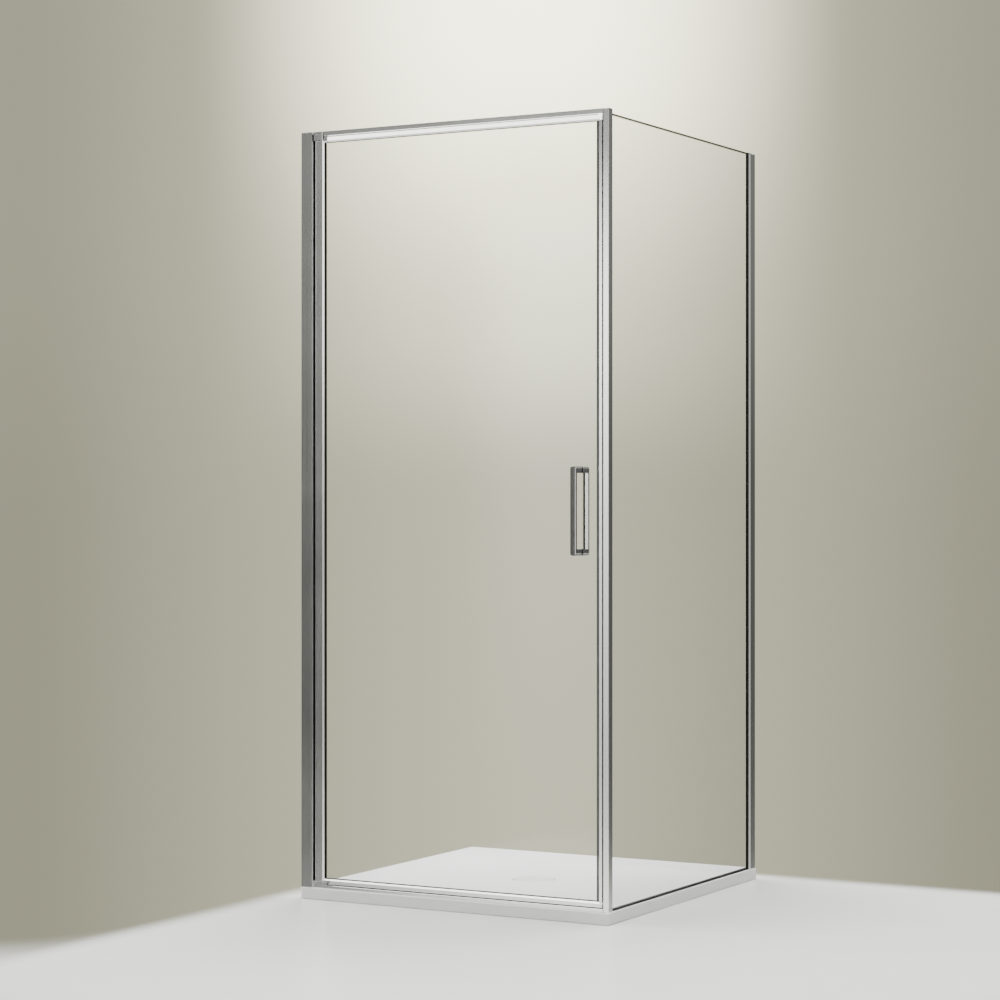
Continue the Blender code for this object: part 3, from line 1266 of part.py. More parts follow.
make_tray()
make_waste()
make_wall_channel()
make_jamb()
make_head_rail()
make_sill()
make_post()
make_post_magnet()
make_top_block()
make_bottom_block()
make_pin("pivot_pin_top", Z_STILE_TOP - PIN_IN_STILE, Z_BLOCK_TOP + PIN_IN_BLOCK)
make_pin("pivot_pin_bottom", Z_BLOCK_BOTTOM - PIN_IN_BOTTOM_BLOCK, Z_STILE_BOTTOM + PIN_IN_STILE)
make_leaf()
make_side_channel()
make_side_glass()
make_side_seals()
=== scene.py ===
import math

import bmesh
import bpy
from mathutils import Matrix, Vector


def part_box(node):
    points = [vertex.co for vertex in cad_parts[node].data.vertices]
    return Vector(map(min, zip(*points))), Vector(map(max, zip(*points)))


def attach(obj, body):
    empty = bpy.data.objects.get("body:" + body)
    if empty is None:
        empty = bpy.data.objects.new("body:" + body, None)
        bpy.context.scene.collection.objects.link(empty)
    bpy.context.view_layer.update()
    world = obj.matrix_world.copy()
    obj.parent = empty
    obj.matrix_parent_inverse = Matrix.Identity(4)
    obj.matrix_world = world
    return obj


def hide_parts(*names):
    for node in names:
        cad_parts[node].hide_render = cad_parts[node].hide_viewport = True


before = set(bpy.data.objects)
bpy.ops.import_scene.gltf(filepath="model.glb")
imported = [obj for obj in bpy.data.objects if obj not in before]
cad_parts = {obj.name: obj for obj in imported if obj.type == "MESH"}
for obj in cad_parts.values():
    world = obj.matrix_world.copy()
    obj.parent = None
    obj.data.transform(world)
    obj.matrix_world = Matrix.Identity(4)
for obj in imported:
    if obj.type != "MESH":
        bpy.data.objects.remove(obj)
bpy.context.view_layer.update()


# Shower tray. A low slab of cast stone resin under a satin white gel coat, laid on the floor of the room.
# Its flat rim carries the frame, and inside the rim the basin falls from every side to the waste.


class Value:
    """A node's output. Python's operators on it add Math nodes."""

    def __init__(self, graph, socket):
        self.graph = graph
        self.socket = socket

    def math(self, operation, first, second=0.0):
        return self.graph.node("ShaderNodeMath", {"operation": operation}, {0: first, 1: second})

    def __add__(self, other):
        return self.math("ADD", self, other)

    def __sub__(self, other):
        return self.math("SUBTRACT", self, other)

    def __rsub__(self, other):
        return self.math("SUBTRACT", other, self)

    def __mul__(self, other):
        return self.math("MULTIPLY", self, other)

    def __truediv__(self, other):
        return self.math("DIVIDE", self, other)

    def __rtruediv__(self, other):
        return self.math("DIVIDE", other, self)

    def __pow__(self, other):
        return self.math("POWER", self, other)

    def __mod__(self, other):
        return self.math("MODULO", self, other)

    def __floordiv__(self, other):
        return self.math("FLOOR", self / other)

    def __abs__(self):
        return self.math("ABSOLUTE", self)

    def __neg__(self):
        return self.math("MULTIPLY", self, -1.0)

    def __gt__(self, other):
        return self.math("GREATER_THAN", self, other)

    __radd__ = __add__
    __rmul__ = __mul__

    def sine(self):
        return self.math("SINE", self)

    def arctan2(self, other):
        return self.math("ARCTAN2", self, other)

    def larger(self, other):
        return self.math("MAXIMUM", self, other)

    def output(self, name):
        return Value(self.graph, self.socket.node.outputs[name])


class Graph:
    """The nodes of a material, of the world or of a Geometry Nodes tree."""

    def __init__(self, tree):
        self.tree = tree

    def node(self, kind, settings=None, sockets=None, output=0):
        """Adds any node: first its settings, then the values or links of its sockets."""
        made = self.tree.nodes.new(kind)
        for name, value in (settings or {}).items():
            setattr(made, name, value)
        for name, value in (sockets or {}).items():
            if isinstance(value, Value):
                self.tree.links.new(value.socket, made.inputs[name])
            else:
                made.inputs[name].default_value = value
        return Value(self, made.outputs[output])

    def axes(self, vector):
        """The three numbers of a vector."""
        parts = self.node("ShaderNodeSeparateXYZ", None, {0: vector})
        return parts, parts.output("Y"), parts.output("Z")

    def point(self, x, y, z):
        return self.node("ShaderNodeCombineXYZ", None, {"X": x, "Y": y, "Z": z})

    def step(self, value, low, high):
        """0 below low, 1 above high and a soft step between them."""
        sockets = {"Value": value, "From Min": low, "From Max": high}
        return self.node("ShaderNodeMapRange", {"interpolation_type": "SMOOTHSTEP"}, sockets)

    def mix(self, share, first, second):
        """A colour between two, by a share from 0 to 1."""
        sockets = {0: share}
        for place, colour in ((6, first), (7, second)):
            sockets[place] = colour if isinstance(colour, Value) else (*colour, 1.0)
        return self.node("ShaderNodeMix", {"data_type": "RGBA"}, sockets, output=2)


class Finish(Graph):
    """A material on the Principled shader: constants on its own sockets, and what varies linked to them."""

    def __init__(self, name, constants):
        self.material = bpy.data.materials.new(name)
        self.material.use_nodes = True
        super().__init__(self.material.node_tree)
        self.shader = self.tree.nodes["Principled BSDF"]
        for socket, value in constants.items():
            self.shader.inputs[socket].default_value = value

    def place(self):
        return self.node("ShaderNodeTexCoord", output="Object")

    def noise(self, scale, detail, roughness=0.5, stretch=None):
        """Noise about 0.5 on the piece's own coordinates, drawn out along an axis by a small stretch."""
        where = self.place()
        if stretch:
            where = self.node("ShaderNodeVectorMath", {"operation": "MULTIPLY"}, {0: where, 1: stretch})
        return self.node("ShaderNodeTexNoise", None, {
            "Vector": where, "Scale": scale, "Detail": detail, "Roughness": roughness,
        })

    def feed(self, socket, value):
        self.tree.links.new(value.socket, self.shader.inputs[socket])

    def bump(self, height, distance, strength):
        sockets = {"Height": height, "Distance": distance, "Strength": strength}
        self.feed("Normal", self.node("ShaderNodeBump", None, sockets))


class Recipe(Graph):
    """A Geometry Nodes tree with named inputs for its sizes."""

    def __init__(self, name, sizes):
        super().__init__(bpy.data.node_groups.new(name, "GeometryNodeTree"))
        ends = self.tree.interface
        ends.new_socket("Geometry", in_out="INPUT", socket_type="NodeSocketGeometry")
        ends.new_socket("Geometry", in_out="OUTPUT", socket_type="NodeSocketGeometry")
        self.sizes = sizes
        kinds = {float: "NodeSocketFloat", int: "NodeSocketInt", bpy.types.Object: "NodeSocketObject"}
        for size, value in sizes.items():
            ends.new_socket(size, in_out="INPUT", socket_type=kinds[type(value)])
        self.given = self.tree.nodes.new("NodeGroupInput")

    def size(self, name):
        return Value(self, self.given.outputs[name])

    def made_mesh(self, name, base, result, finish):
        """Ends the tree, runs it on a base mesh and returns the plain mesh."""
        real = self.node("GeometryNodeRealizeInstances", None, {0: result})
        done = self.node("GeometryNodeSetMaterial", None, {"Geometry": real, "Material": finish.material})
        self.tree.links.new(done.socket, self.tree.nodes.new("NodeGroupOutput").inputs[0])
        carrier = bpy.data.objects.new(name + "_base", base)
        bpy.context.scene.collection.objects.link(carrier)
        modifier = carrier.modifiers.new(self.tree.name, "NODES")
        modifier.node_group = self.tree
        for item in self.tree.interface.items_tree:
            if item.in_out == "INPUT" and item.name in self.sizes:
                modifier[item.identifier] = self.sizes[item.name]
        bpy.context.view_layer.update()
        evaluated = carrier.evaluated_get(bpy.context.evaluated_depsgraph_get())
        mesh = bpy.data.meshes.new_from_object(evaluated)
        bpy.data.objects.remove(carrier)
        return mesh


def face_outwards(mesh):
    """Welds points that are in one place and turns every face outwards."""
    one_place = 0.000001
    work = bmesh.new()
    work.from_mesh(mesh)
    bmesh.ops.remove_doubles(work, verts=work.verts, dist=one_place)
    bmesh.ops.recalc_face_normals(work, faces=work.faces)
    work.to_mesh(mesh)
    work.free()


def show(name, mesh, finish, body, nodes, corner=21):
    """Adds a finished mesh, smooth but for its corners, which rides on a body in place of its nodes."""
    mesh.materials.clear()
    mesh.materials.append(finish.material)
    mesh.shade_smooth()
    mesh.set_sharp_from_angle(angle=math.radians(corner))
    piece = bpy.data.objects.new(name, mesh)
    bpy.context.scene.collection.objects.link(piece)
    flat = piece.modifiers.new("flat faces stay flat", "WEIGHTED_NORMAL")
    flat.keep_sharp = True
    flat.weight = 100
    bpy.context.view_layer.update()
    piece.data = bpy.data.meshes.new_from_object(piece.evaluated_get(bpy.context.evaluated_depsgraph_get()))
    piece.data.name = name
    piece.modifiers.clear()
    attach(piece, body)
    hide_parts(*nodes)


gel_coat = Finish("white_gel_coat", {"IOR": 1.5, "Coat Roughness": 0.25})
cloud = gel_coat.noise(scale=3.0, detail=4.0)
speck = gel_coat.noise(scale=700.0, detail=1.0)
gel_coat.feed("Base Color", gel_coat.mix(cloud, (0.80, 0.80, 0.785), (0.86, 0.86, 0.845)))
gel_coat.feed("Roughness", 0.26 + 0.12 * cloud + 0.05 * speck)
gel_coat.bump(gel_coat.noise(scale=260.0, detail=2.0) + 0.4 * speck, distance=0.00006, strength=0.6)

tray_low, tray_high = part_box("shower_tray")
tray_half = (tray_high.x - tray_low.x) / 2
tray_height = tray_high.z
free_corner = 0.010
wall_corner = 0.003
corner_steps = 10
side_steps = 30
rounding = 0.0025
rim = 0.055
basin_fall = 0.005
basin_rings = 20
squareness = 9.0
apron_radius = 0.0685
recess_radius = 0.0585
recess_depth = 0.0085
hole_radius = 0.0455
lip = 0.0008
sole_skin = 0.0001
seam = 0.00001


def corner_point(number, angle):
    """A point on the rounding of one of the slab's corners. Corner 0, at the front right, stands free."""
    side_x, side_y = ((1, -1), (1, 1), (-1, 1), (-1, -1))[number]
    radius = wall_corner if number else free_corner
    middle = Vector((side_x * (tray_half - radius), side_y * (tray_half - radius), 0))
    return middle + radius * Vector((math.cos(angle), math.sin(angle), 0))


outline = []
for number in range(4):
    for turn in range(corner_steps + 1):
        outline.append(corner_point(number, math.radians(-90 + 90 * (number + turn / corner_steps))))
    start = outline[-1].copy()
    goal = corner_point((number + 1) % 4, math.radians(90 * number))
    outline += [start.lerp(goal, share / side_steps) for share in range(1, side_steps)]

# Each row is a ring of the slab's section: its share of the basin, its extra reach, its depth under the
# rim, and 1 where it follows the slab's sides
rows = [(1.0, hole_radius - apron_radius, tray_height, 0.0), (0.0, -rounding, tray_height, 1.0)]
for turn in (30, 60, 90):
    angle = math.radians(turn)
    rows.append((
        0.0, -rounding * (1 - math.sin(angle)), tray_height - rounding * (1 - math.cos(angle)), 1.0,
    ))
for turn in (0, 30, 60, 90):
    angle = math.radians(turn)
    rows.append((0.0, -rounding * (1 - math.cos(angle)), rounding * (1 - math.sin(angle)), 1.0))
rows += [(ring / basin_rings, 0.0, 0.0, 0.0) for ring in range(basin_rings + 1)]
rows += [
    (1.0, recess_radius + lip - apron_radius, 0.0, 0.0),
    (1.0, recess_radius + lip / 4 - apron_radius, lip / 4, 0.0),
    (1.0, recess_radius - apron_radius, lip, 0.0),
    (1.0, recess_radius - apron_radius, recess_depth, 0.0),
    (1.0, hole_radius - apron_radius, recess_depth, 0.0),
]
section = bpy.data.meshes.new("tray_section")
section.from_pydata(outline + [Vector(row[:3]) for row in rows], [], [])
on_side = section.attributes.new("on_side", "FLOAT", "POINT")
on_side.data.foreach_set("value", [0.0] * len(outline) + [row[3] for row in rows])

tray = Recipe("tray_rule", {
    "Outline points": len(outline),
    "Section rows": len(rows),
    "Half width": tray_half,
    "Rim": rim,
    "Apron radius": apron_radius,
    "Fall": basin_fall,
    "Height": tray_height,
    "Squareness": squareness,
    "Back": (tray_low.y + tray_high.y) / 2,
})

# A flat grid is bent into the slab: it has a row for each ring and a column for each point of the outline
columns = tray.size("Outline points")
grid = tray.node("GeometryNodeMeshGrid", None, {
    "Size X": 1.0, "Size Y": 1.0, "Vertices X": tray.size("Section rows") + 1, "Vertices Y": columns + 1,
})
index = tray.node("GeometryNodeInputIndex")
row_index = (index // (columns + 1)) % tray.size("Section rows") + columns
column_index = (index % (columns + 1)) % columns


def picked(kind, value, number):
    """A value of one point of the base mesh, which holds the outline and then the rows."""
    sockets = {"Geometry": tray.size("Geometry"), "Value": value, "Index": number}
    return tray.node("GeometryNodeSampleIndex", {"data_type": kind}, sockets)


where = tray.node("GeometryNodeInputPosition")
share, reach, depth = tray.axes(picked("FLOAT_VECTOR", where, row_index))
side_mark = tray.node("GeometryNodeInputNamedAttribute", {"data_type": "FLOAT"}, {"Name": "on_side"})
side = picked("FLOAT", side_mark, row_index)
edge_x, edge_y = tray.axes(picked("FLOAT_VECTOR", where, column_index))[:2]
far = (edge_x * edge_x + edge_y * edge_y) ** 0.5
across, along = edge_x / far, edge_y / far

# The basin's rings are a rounded square at the rim and a circle at the waste
square = tray.size("Squareness") + (2.0 - tray.size("Squareness")) * share
inside = tray.size("Half width") - tray.size("Rim")
ring = (inside + (tray.size("Apron radius") - inside) * share + reach) * (
    (abs(across) ** square + abs(along) ** square) ** (-1.0 / square)
)
grown = 1.0 + reach / tray.size("Half width")
ring_x = ring * across * (1.0 - side) + edge_x * grown * side
ring_y = ring * along * (1.0 - side) + edge_y * grown * side
level = tray.size("Height") - depth - tray.size("Fall") * (share * (math.pi / 2)).sine() * (1.0 - side)
on_sole = depth > tray_height - sole_skin
level = level * (1.0 - on_sole)
moved = tray.node("GeometryNodeSetPosition", None, {
    "Geometry": grid, "Position": tray.point(ring_x, ring_y + tray.size("Back"), level),
})
welded = tray.node("GeometryNodeMergeByDistance", None, {"Geometry": moved, "Distance": seam})
tray_mesh = tray.made_mesh("tray_slab", section, welded, gel_coat)
face_outwards(tray_mesh)
show("tray_slab", tray_mesh, gel_coat, "enclosure", ["shower_tray"], corner=50)


# Waste. A chromed flange is screwed down on a rubber ring in the tray's recess, and its neck leads to the
# trap. A white moulded cover with a finger notch sits over it and lifts out by hand.


def eased(node, finish, body, width=0.0003, shaped=None, weld=0.000004, upright_only=False):
    """A node with its seams welded and its outer edges eased, as they are before polishing.

    Shaped, where given, first works a fine form into the welded mesh.
    """
    same_plane = math.radians(0.3)
    least_corner = math.radians(21)
    steepness = 0.9
    work = bmesh.new()
    work.from_mesh(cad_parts[node].data)
    bmesh.ops.remove_doubles(work, verts=work.verts, dist=weld)
    bmesh.ops.dissolve_limit(work, angle_limit=same_plane, verts=work.verts[:], edges=work.edges[:])
    if shaped:
        shaped(work)
    outer = [e for e in work.edges if e.is_manifold and e.is_convex and e.calc_face_angle(0) > least_corner]
    if upright_only:
        outer = [e for e in outer if abs(e.verts[0].co.z - e.verts[1].co.z) > steepness * e.calc_length()]
    bmesh.ops.bevel(
        work, geom=outer, offset=width, offset_type="OFFSET", segments=2, profile=0.5,
        affect="EDGES", clamp_overlap=True,
    )
    mesh = bpy.data.meshes.new(node + "_finished")
    work.to_mesh(mesh)
    work.free()
    show(node + "_finished", mesh, finish, body, [node])


def lathe(name, profile, sides, middle, reach=None):
    """A skin turned about a vertical line from points of radius and height. Reach trims its outline."""
    work = bmesh.new()
    rings = []
    for radius, height in profile:
        ring = []
        for number in range(sides if radius else 1):
            angle = 2 * math.pi * number / sides
            out = reach(angle, radius) if reach and radius else radius
            ring.append(work.verts.new((
                middle[0] + out * math.cos(angle), middle[1] + out * math.sin(angle), middle[2] + height,
            )))
        rings.append(ring)
    for upper, lower in zip(rings, rings[1:]):
        for number in range(sides):
            after = (number + 1) % sides
            corners = [upper[number % len(upper)], upper[after % len(upper)]]
            corners += [lower[after % len(lower)], lower[number % len(lower)]]
            work.faces.new(list(dict.fromkeys(corners)))
    mesh = bpy.data.meshes.new(name)
    work.to_mesh(mesh)
    work.free()
    face_outwards(mesh)
    return mesh


rubber = Finish("black_rubber", {"IOR": 1.5, "Specular IOR Level": 0.12})
bloom = rubber.noise(scale=30.0, detail=3.0)
rubber.feed("Base Color", rubber.mix(bloom, (0.003, 0.003, 0.003), (0.008, 0.008, 0.008)))
rubber.feed("Roughness", 0.40 + 0.2 * bloom)
rubber.bump(rubber.noise(scale=900.0, detail=1.0), distance=0.00003, strength=0.5)

chrome = Finish("polished_chrome", {"Metallic": 1.0})
haze = chrome.noise(scale=22.0, detail=4.0)
chrome.feed("Base Color", chrome.mix(haze, (0.72, 0.725, 0.73), (0.78, 0.78, 0.785)))
chrome.feed("Roughness", 0.05 + 0.08 * haze)
chrome.bump(chrome.noise(scale=60.0, detail=2.0), distance=0.00002, strength=0.4)

cover_white = Finish("moulded_white", {"IOR": 1.5})
flow = cover_white.noise(scale=25.0, detail=3.0)
cover_white.feed("Base Color", cover_white.mix(flow, (0.80, 0.80, 0.785), (0.86, 0.86, 0.85)))
cover_white.feed("Roughness", 0.18 + 0.12 * flow)
cover_white.bump(cover_white.noise(scale=600.0, detail=1.0), distance=0.00003, strength=0.4)

eased("waste_seal", rubber, "enclosure")
eased("waste_flange", chrome, "enclosure")

cover_low, cover_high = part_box("waste_cover")
cover_radius = 0.0565
cover_middle = (0.0, tray_low.y + tray_half, cover_high.z)
cover_thickness = 0.0025
cover_rounding = 0.0010
flat_radius = 0.03
foot_radius = 0.050
foot_wall = 0.003
foot_drop = cover_high.z - cover_low.z
foot_sink = 0.0003
foot_half_space = 0.020
foot_steps = 8
notch_radius = 0.006
notch_angle = math.radians(219)
notch_easing = 0.0004


def notched(angle, radius):
    """The outline's reach in a direction: shorter at the finger notch, whose top edge is eased."""
    away = (angle - notch_angle + math.pi) % (2 * math.pi) - math.pi
    offset = cover_radius * math.sin(away)
    if abs(away) > math.pi / 2 or abs(offset) >= notch_radius:
        return radius
    bite = cover_radius * math.cos(away) - math.sqrt(notch_radius ** 2 - offset ** 2)
    on_side = radius > cover_radius - cover_rounding / 2
    return min(radius, bite + notch_easing if on_side else bite)


cover_profile = [(0.0, 0.0), (flat_radius, 0.0)]
for turn in (0, 22.5, 45, 67.5, 90):
    angle = math.radians(turn)
    cover_profile.append((
        cover_radius - cover_rounding + cover_rounding * math.sin(angle),
        -cover_rounding + cover_rounding * math.cos(angle),
    ))
cover_profile += [(cover_radius, -cover_thickness), (0.0, -cover_thickness)]
cover_mesh = lathe("cover_disc", cover_profile, sides=480, middle=cover_middle, reach=notched)

foot_top = cover_thickness - foot_sink
foot_section = (
    (foot_radius, foot_top), (foot_radius, foot_drop),
    (foot_radius - foot_wall, foot_drop), (foot_radius - foot_wall, foot_top),
)
gap = math.asin(foot_half_space / foot_radius)
feet = bmesh.new()
feet.from_mesh(cover_mesh)
for quarter in range(4):
    start = math.radians(90 * quarter) + gap
    end = math.radians(90 * quarter + 90) - gap
    ribs = []
    for step in range(foot_steps + 1):
        angle = start + (end - start) * step / foot_steps
        ribs.append([
            feet.verts.new((
                cover_middle[0] + radius * math.cos(angle), cover_middle[1] + radius * math.sin(angle),
                cover_middle[2] - drop,
            ))
            for radius, drop in foot_section
        ])
    for first, second in zip(ribs, ribs[1:]):
        for corner in range(4):
            after = (corner + 1) % 4
            feet.faces.new((first[corner], first[after], second[after], second[corner]))
    feet.faces.new(ribs[0])
    feet.faces.new(ribs[-1][::-1])
bmesh.ops.recalc_face_normals(feet, faces=feet.faces)
feet.to_mesh(cover_mesh)
feet.free()
show("cover_disc", cover_mesh, cover_white, "cover", ["waste_cover"])


# Wall side of the door. A U channel of extruded aluminium is screwed to the wall, and a box profile slides
# in it to take up the wall's error. Both are polished and clear anodised. A moulded cap closes the channel.


def aluminium(name, tint, roughness, along):
    """Polished, clear anodised aluminium. Faint lines from the die run along the profile's own axis."""
    made = Finish(name, {"Metallic": 1.0})
    lines_each_way = [420.0, 420.0, 420.0]
    lines_each_way[along] = 1.5
    die = made.noise(scale=1.0, detail=3.0, roughness=0.6, stretch=lines_each_way)
    haze = made.noise(scale=5.0, detail=3.0)
    dull = tuple(part * 0.93 for part in tint)
    made.feed("Base Color", made.mix(0.5 * die + 0.5 * haze, dull, tint))
    made.feed("Roughness", roughness + 0.05 * (die - 0.5) + 0.06 * (haze - 0.5))
    made.bump(die, distance=0.000012, strength=0.5)
    return made


upright = aluminium("anodised_upright", tint=(0.80, 0.80, 0.80), roughness=0.13, along=2)
cap_plastic = Finish("silver_grey_cap", {"IOR": 1.5})
cap_flow = cap_plastic.noise(scale=200.0, detail=2.0)
cap_plastic.feed("Base Color", cap_plastic.mix(cap_flow, (0.40, 0.40, 0.40), (0.47, 0.47, 0.465)))
cap_plastic.feed("Roughness", 0.28 + 0.15 * cap_flow)
cap_plastic.bump(cap_flow, distance=0.00003, strength=0.5)

# The channel's aluminium is a darker copy of the jamb's: its darker colour is painted shade, of the shaded
# corner beside the wall
channel = aluminium("anodised_channel", tint=(0.66, 0.66, 0.66), roughness=0.13, along=2)
eased("wall_channel_left", channel, "enclosure", width=0.0002)
eased("hinge_jamb", upright, "enclosure", width=0.0002)
eased("wall_channel_left_cap", cap_plastic, "enclosure")
eased("hinge_side_seal", rubber, "enclosure", width=0.0001)


# Fixed frame. The head rail and the sill are polished extrusions that the corner post carries with a hidden
# screw each. A foot and a cap close the post, and a closing strip sits in its groove that faces the door.

crossbar = aluminium("anodised_crossbar", tint=(0.80, 0.80, 0.80), roughness=0.13, along=0)
strip_rubber = Finish("closing_strip", {"IOR": 1.5})
strip_flow = strip_rubber.noise(scale=40.0, detail=3.0)
strip_rubber.feed("Base Color", strip_rubber.mix(strip_flow, (0.018, 0.018, 0.018), (0.035, 0.034, 0.033)))
strip_rubber.feed("Roughness", 0.35 + 0.2 * strip_flow)
strip_rubber.bump(strip_rubber.noise(scale=700.0, detail=1.0), distance=0.00003, strength=0.5)

eased("head_rail", crossbar, "enclosure")
eased("sill", crossbar, "enclosure")
eased("corner_post", upright, "enclosure")
eased("corner_post_cap", upright, "enclosure")
eased("corner_post_foot", upright, "enclosure")
eased("post_magnet_strip", strip_rubber, "enclosure", width=0.00015)


# Pivots. A cast block at each end of the jamb holds a steel pin, and the pins turn in nylon bushes pressed
# into the door's hinge stile. A grub screw in the top block locks its pin once the door hangs right.

cast = Finish("cast_and_polished", {"Metallic": 1.0})
grain = cast.noise(scale=90.0, detail=3.0)
cast.feed("Base Color", cast.mix(grain, (0.68, 0.68, 0.68), (0.74, 0.74, 0.74)))
cast.feed("Roughness", 0.10 + 0.08 * grain)
cast.bump(cast.noise(scale=300.0, detail=2.0), distance=0.00001, strength=0.4)
steel = Finish("plain_steel", {"Metallic": 1.0})
drawn_steel = steel.noise(scale=500.0, detail=2.0)
steel.feed("Base Color", steel.mix(drawn_steel, (0.52, 0.52, 0.52), (0.62, 0.62, 0.61)))
steel.feed("Roughness", 0.25 + 0.15 * drawn_steel)
steel.bump(drawn_steel, distance=0.00002, strength=0.5)
nylon = Finish("black_nylon", {"IOR": 1.53})
nylon_flow = nylon.noise(scale=120.0, detail=2.0)
nylon.feed("Base Color", nylon.mix(nylon_flow, (0.025, 0.025, 0.025), (0.04, 0.04, 0.04)))
nylon.feed("Roughness", 0.35 + 0.15 * nylon_flow)
nylon.bump(nylon_flow, distance=0.00003, strength=0.4)

for block in ("pivot_block_top", "pivot_block_bottom"):
    eased(block, cast, "enclosure")
for pin in ("pivot_pin_top", "pivot_pin_bottom"):
    eased(pin, steel, "enclosure", width=0.0002)
for bush in ("pivot_bush_top", "pivot_bush_bottom"):
    eased(bush, nylon, "door", width=0.0002)


# Screws, all of stainless steel. Pan heads fix the jamb in its channel from inside the cabin, and
# countersunk ones hold the fixed rails to the post, both with a six-lobed drive. Small ones hold the door's
# rails to the lock stile, and one is a grub.


def screw_mesh(name, profile, drive_radius, drive_depth):
    """A turned head and shank with a six-lobed drive recess in its top, standing on its tip along Z."""
    top = profile[0][1]
    lobe = 0.16

    def lobed(angle, radius):
        return drive_radius * (1 + lobe * math.cos(6 * angle)) if radius == drive_radius else radius

    recess = [(0.0, top - drive_depth), (drive_radius, top - drive_depth), (drive_radius, top)]
    return lathe(name, recess + profile, sides=48, middle=(0, 0, 0), reach=lobed)


def screws(name, mesh, finish, body, nodes, turn):
    """Screws of one kind, one on each node's place, by Geometry Nodes."""
    pattern = bpy.data.objects.new(name + "_pattern", mesh)
    bpy.context.scene.collection.objects.link(pattern)
    places = []
    for node in nodes:
        low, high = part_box(node)
        places.append((low + high) / 2)
    points = bpy.data.meshes.new(name + "_places")
    points.from_pydata(places, [], [])
    recipe = Recipe(name, {"Turn X": turn[0], "Turn Y": turn[1], "Turn Z": turn[2]})
    shape = recipe.node("GeometryNodeObjectInfo", None, {"Object": pattern}, output="Geometry")
    angles = recipe.point(recipe.size("Turn X"), recipe.size("Turn Y"), recipe.size("Turn Z"))
    copies = recipe.node("GeometryNodeInstanceOnPoints", None, {
        "Points": recipe.size("Geometry"), "Instance": shape, "Rotation": angles,
    })
    made = recipe.made_mesh(name, points, copies, finish)
    bpy.data.objects.remove(pattern)
    show(name, made, finish, body, nodes)


def centred(profile):
    """A head-up profile moved so that the middle of its height is at 0."""
    heights = [height for radius, height in profile]
    shift = (max(heights) + min(heights)) / 2
    return [(radius, height - shift) for radius, height in profile]


pan = centred([
    (0.0022, 0.0020), (0.0029, 0.0017), (0.0034, 0.0010), (0.0035, 0.0), (0.0018, 0.0), (0.0018, -0.0074),
    (0.0010, -0.0080), (0.0, -0.0080),
])
countersunk = centred([
    (0.0028, 0.0), (0.0030, -0.0002), (0.0014, -0.0016), (0.0014, -0.0192), (0.0008, -0.0200),
    (0.0, -0.0200),
])
pan_mesh = screw_mesh("pan_screw", pan, drive_radius=0.0012, drive_depth=0.0012)
sunk_mesh = screw_mesh("countersunk_screw", countersunk, drive_radius=0.0013, drive_depth=0.0010)
quarter_turn = math.pi / 2
screws(
    "jamb_screws", pan_mesh, steel, "enclosure",
    ["jamb_screw_lower", "jamb_screw_middle", "jamb_screw_upper"], turn=(-quarter_turn, 0.0, 0.0),
)
screws(
    "rail_screws", sunk_mesh, steel, "enclosure",
    ["head_rail_screw", "sill_screw"], turn=(0.0, quarter_turn, 0.0),
)
eased("pivot_grub_screw", steel, "enclosure", width=0.0001)
for end in ("top", "bottom"):
    eased(f"lock_corner_screw_{end}", steel, "door", width=0.0001)


# Door leaf. Slim polished aluminium stiles and rails, joined at the hinge side by cast corner blocks and at
# the lock side by screws, hold a toughened pane in black glazing gaskets.

stile = aluminium("anodised_stile", tint=(0.82, 0.82, 0.82), roughness=0.13, along=2)
# The rails' aluminium is a lighter copy of the stiles': its lighter colour is painted light, of the
# overhead light that the level rails catch
door_rail = aluminium("anodised_door_rail", tint=(0.90, 0.90, 0.90), roughness=0.20, along=0)
grey_rubber = Finish("dark_grey_rubber", {"IOR": 1.5, "Specular IOR Level": 0.25})
grey_bloom = grey_rubber.noise(scale=30.0, detail=3.0)
grey_rubber.feed("Base Color", grey_rubber.mix(grey_bloom, (0.085, 0.085, 0.08), (0.115, 0.115, 0.11)))
grey_rubber.feed("Roughness", 0.35 + 0.2 * grey_bloom)
grey_rubber.bump(grey_rubber.noise(scale=900.0, detail=1.0), distance=0.00003, strength=0.5)


def shifted(node, sides, within, axis, by):
    """A shaping step: what lies close to all the named sides of a node's box moves along an axis."""
    low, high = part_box(node)
    places = {"left": (0, low.x), "front": (1, low.y), "bottom": (2, low.z), "top": (2, high.z)}

    def shaped(work):
        for vert in work.verts:
            if all(abs(vert.co[places[side][0]] - places[side][1]) < within for side in sides):
                vert.co[axis] += by

    return shaped


rail_skin = 0.0002
lip_skin = 0.0008
# The top rail's front leans back towards its upper edge
leaned = shifted("door_top_rail", ["front", "top"], rail_skin, axis=1, by=0.0026)
# The bottom rail's front foot is cut back, so that water drips off it before the sill
dripped = shifted("door_bottom_rail", ["front", "bottom"], rail_skin, axis=2, by=0.0013)
# The top gasket's lips end flush with the rail
flush_lipped = shifted("door_top_gasket", ["bottom"], lip_skin, axis=2, by=0.0009)
# The bottom gasket's lips stand a little higher on the glass, to shed water
raised_lipped = shifted("door_bottom_gasket", ["top"], lip_skin, axis=2, by=0.0010)
# The lock side's gasket has wider lips on the glass than the others
wide_lipped = shifted("door_lock_gasket", ["left"], lip_skin, axis=0, by=-0.0034)

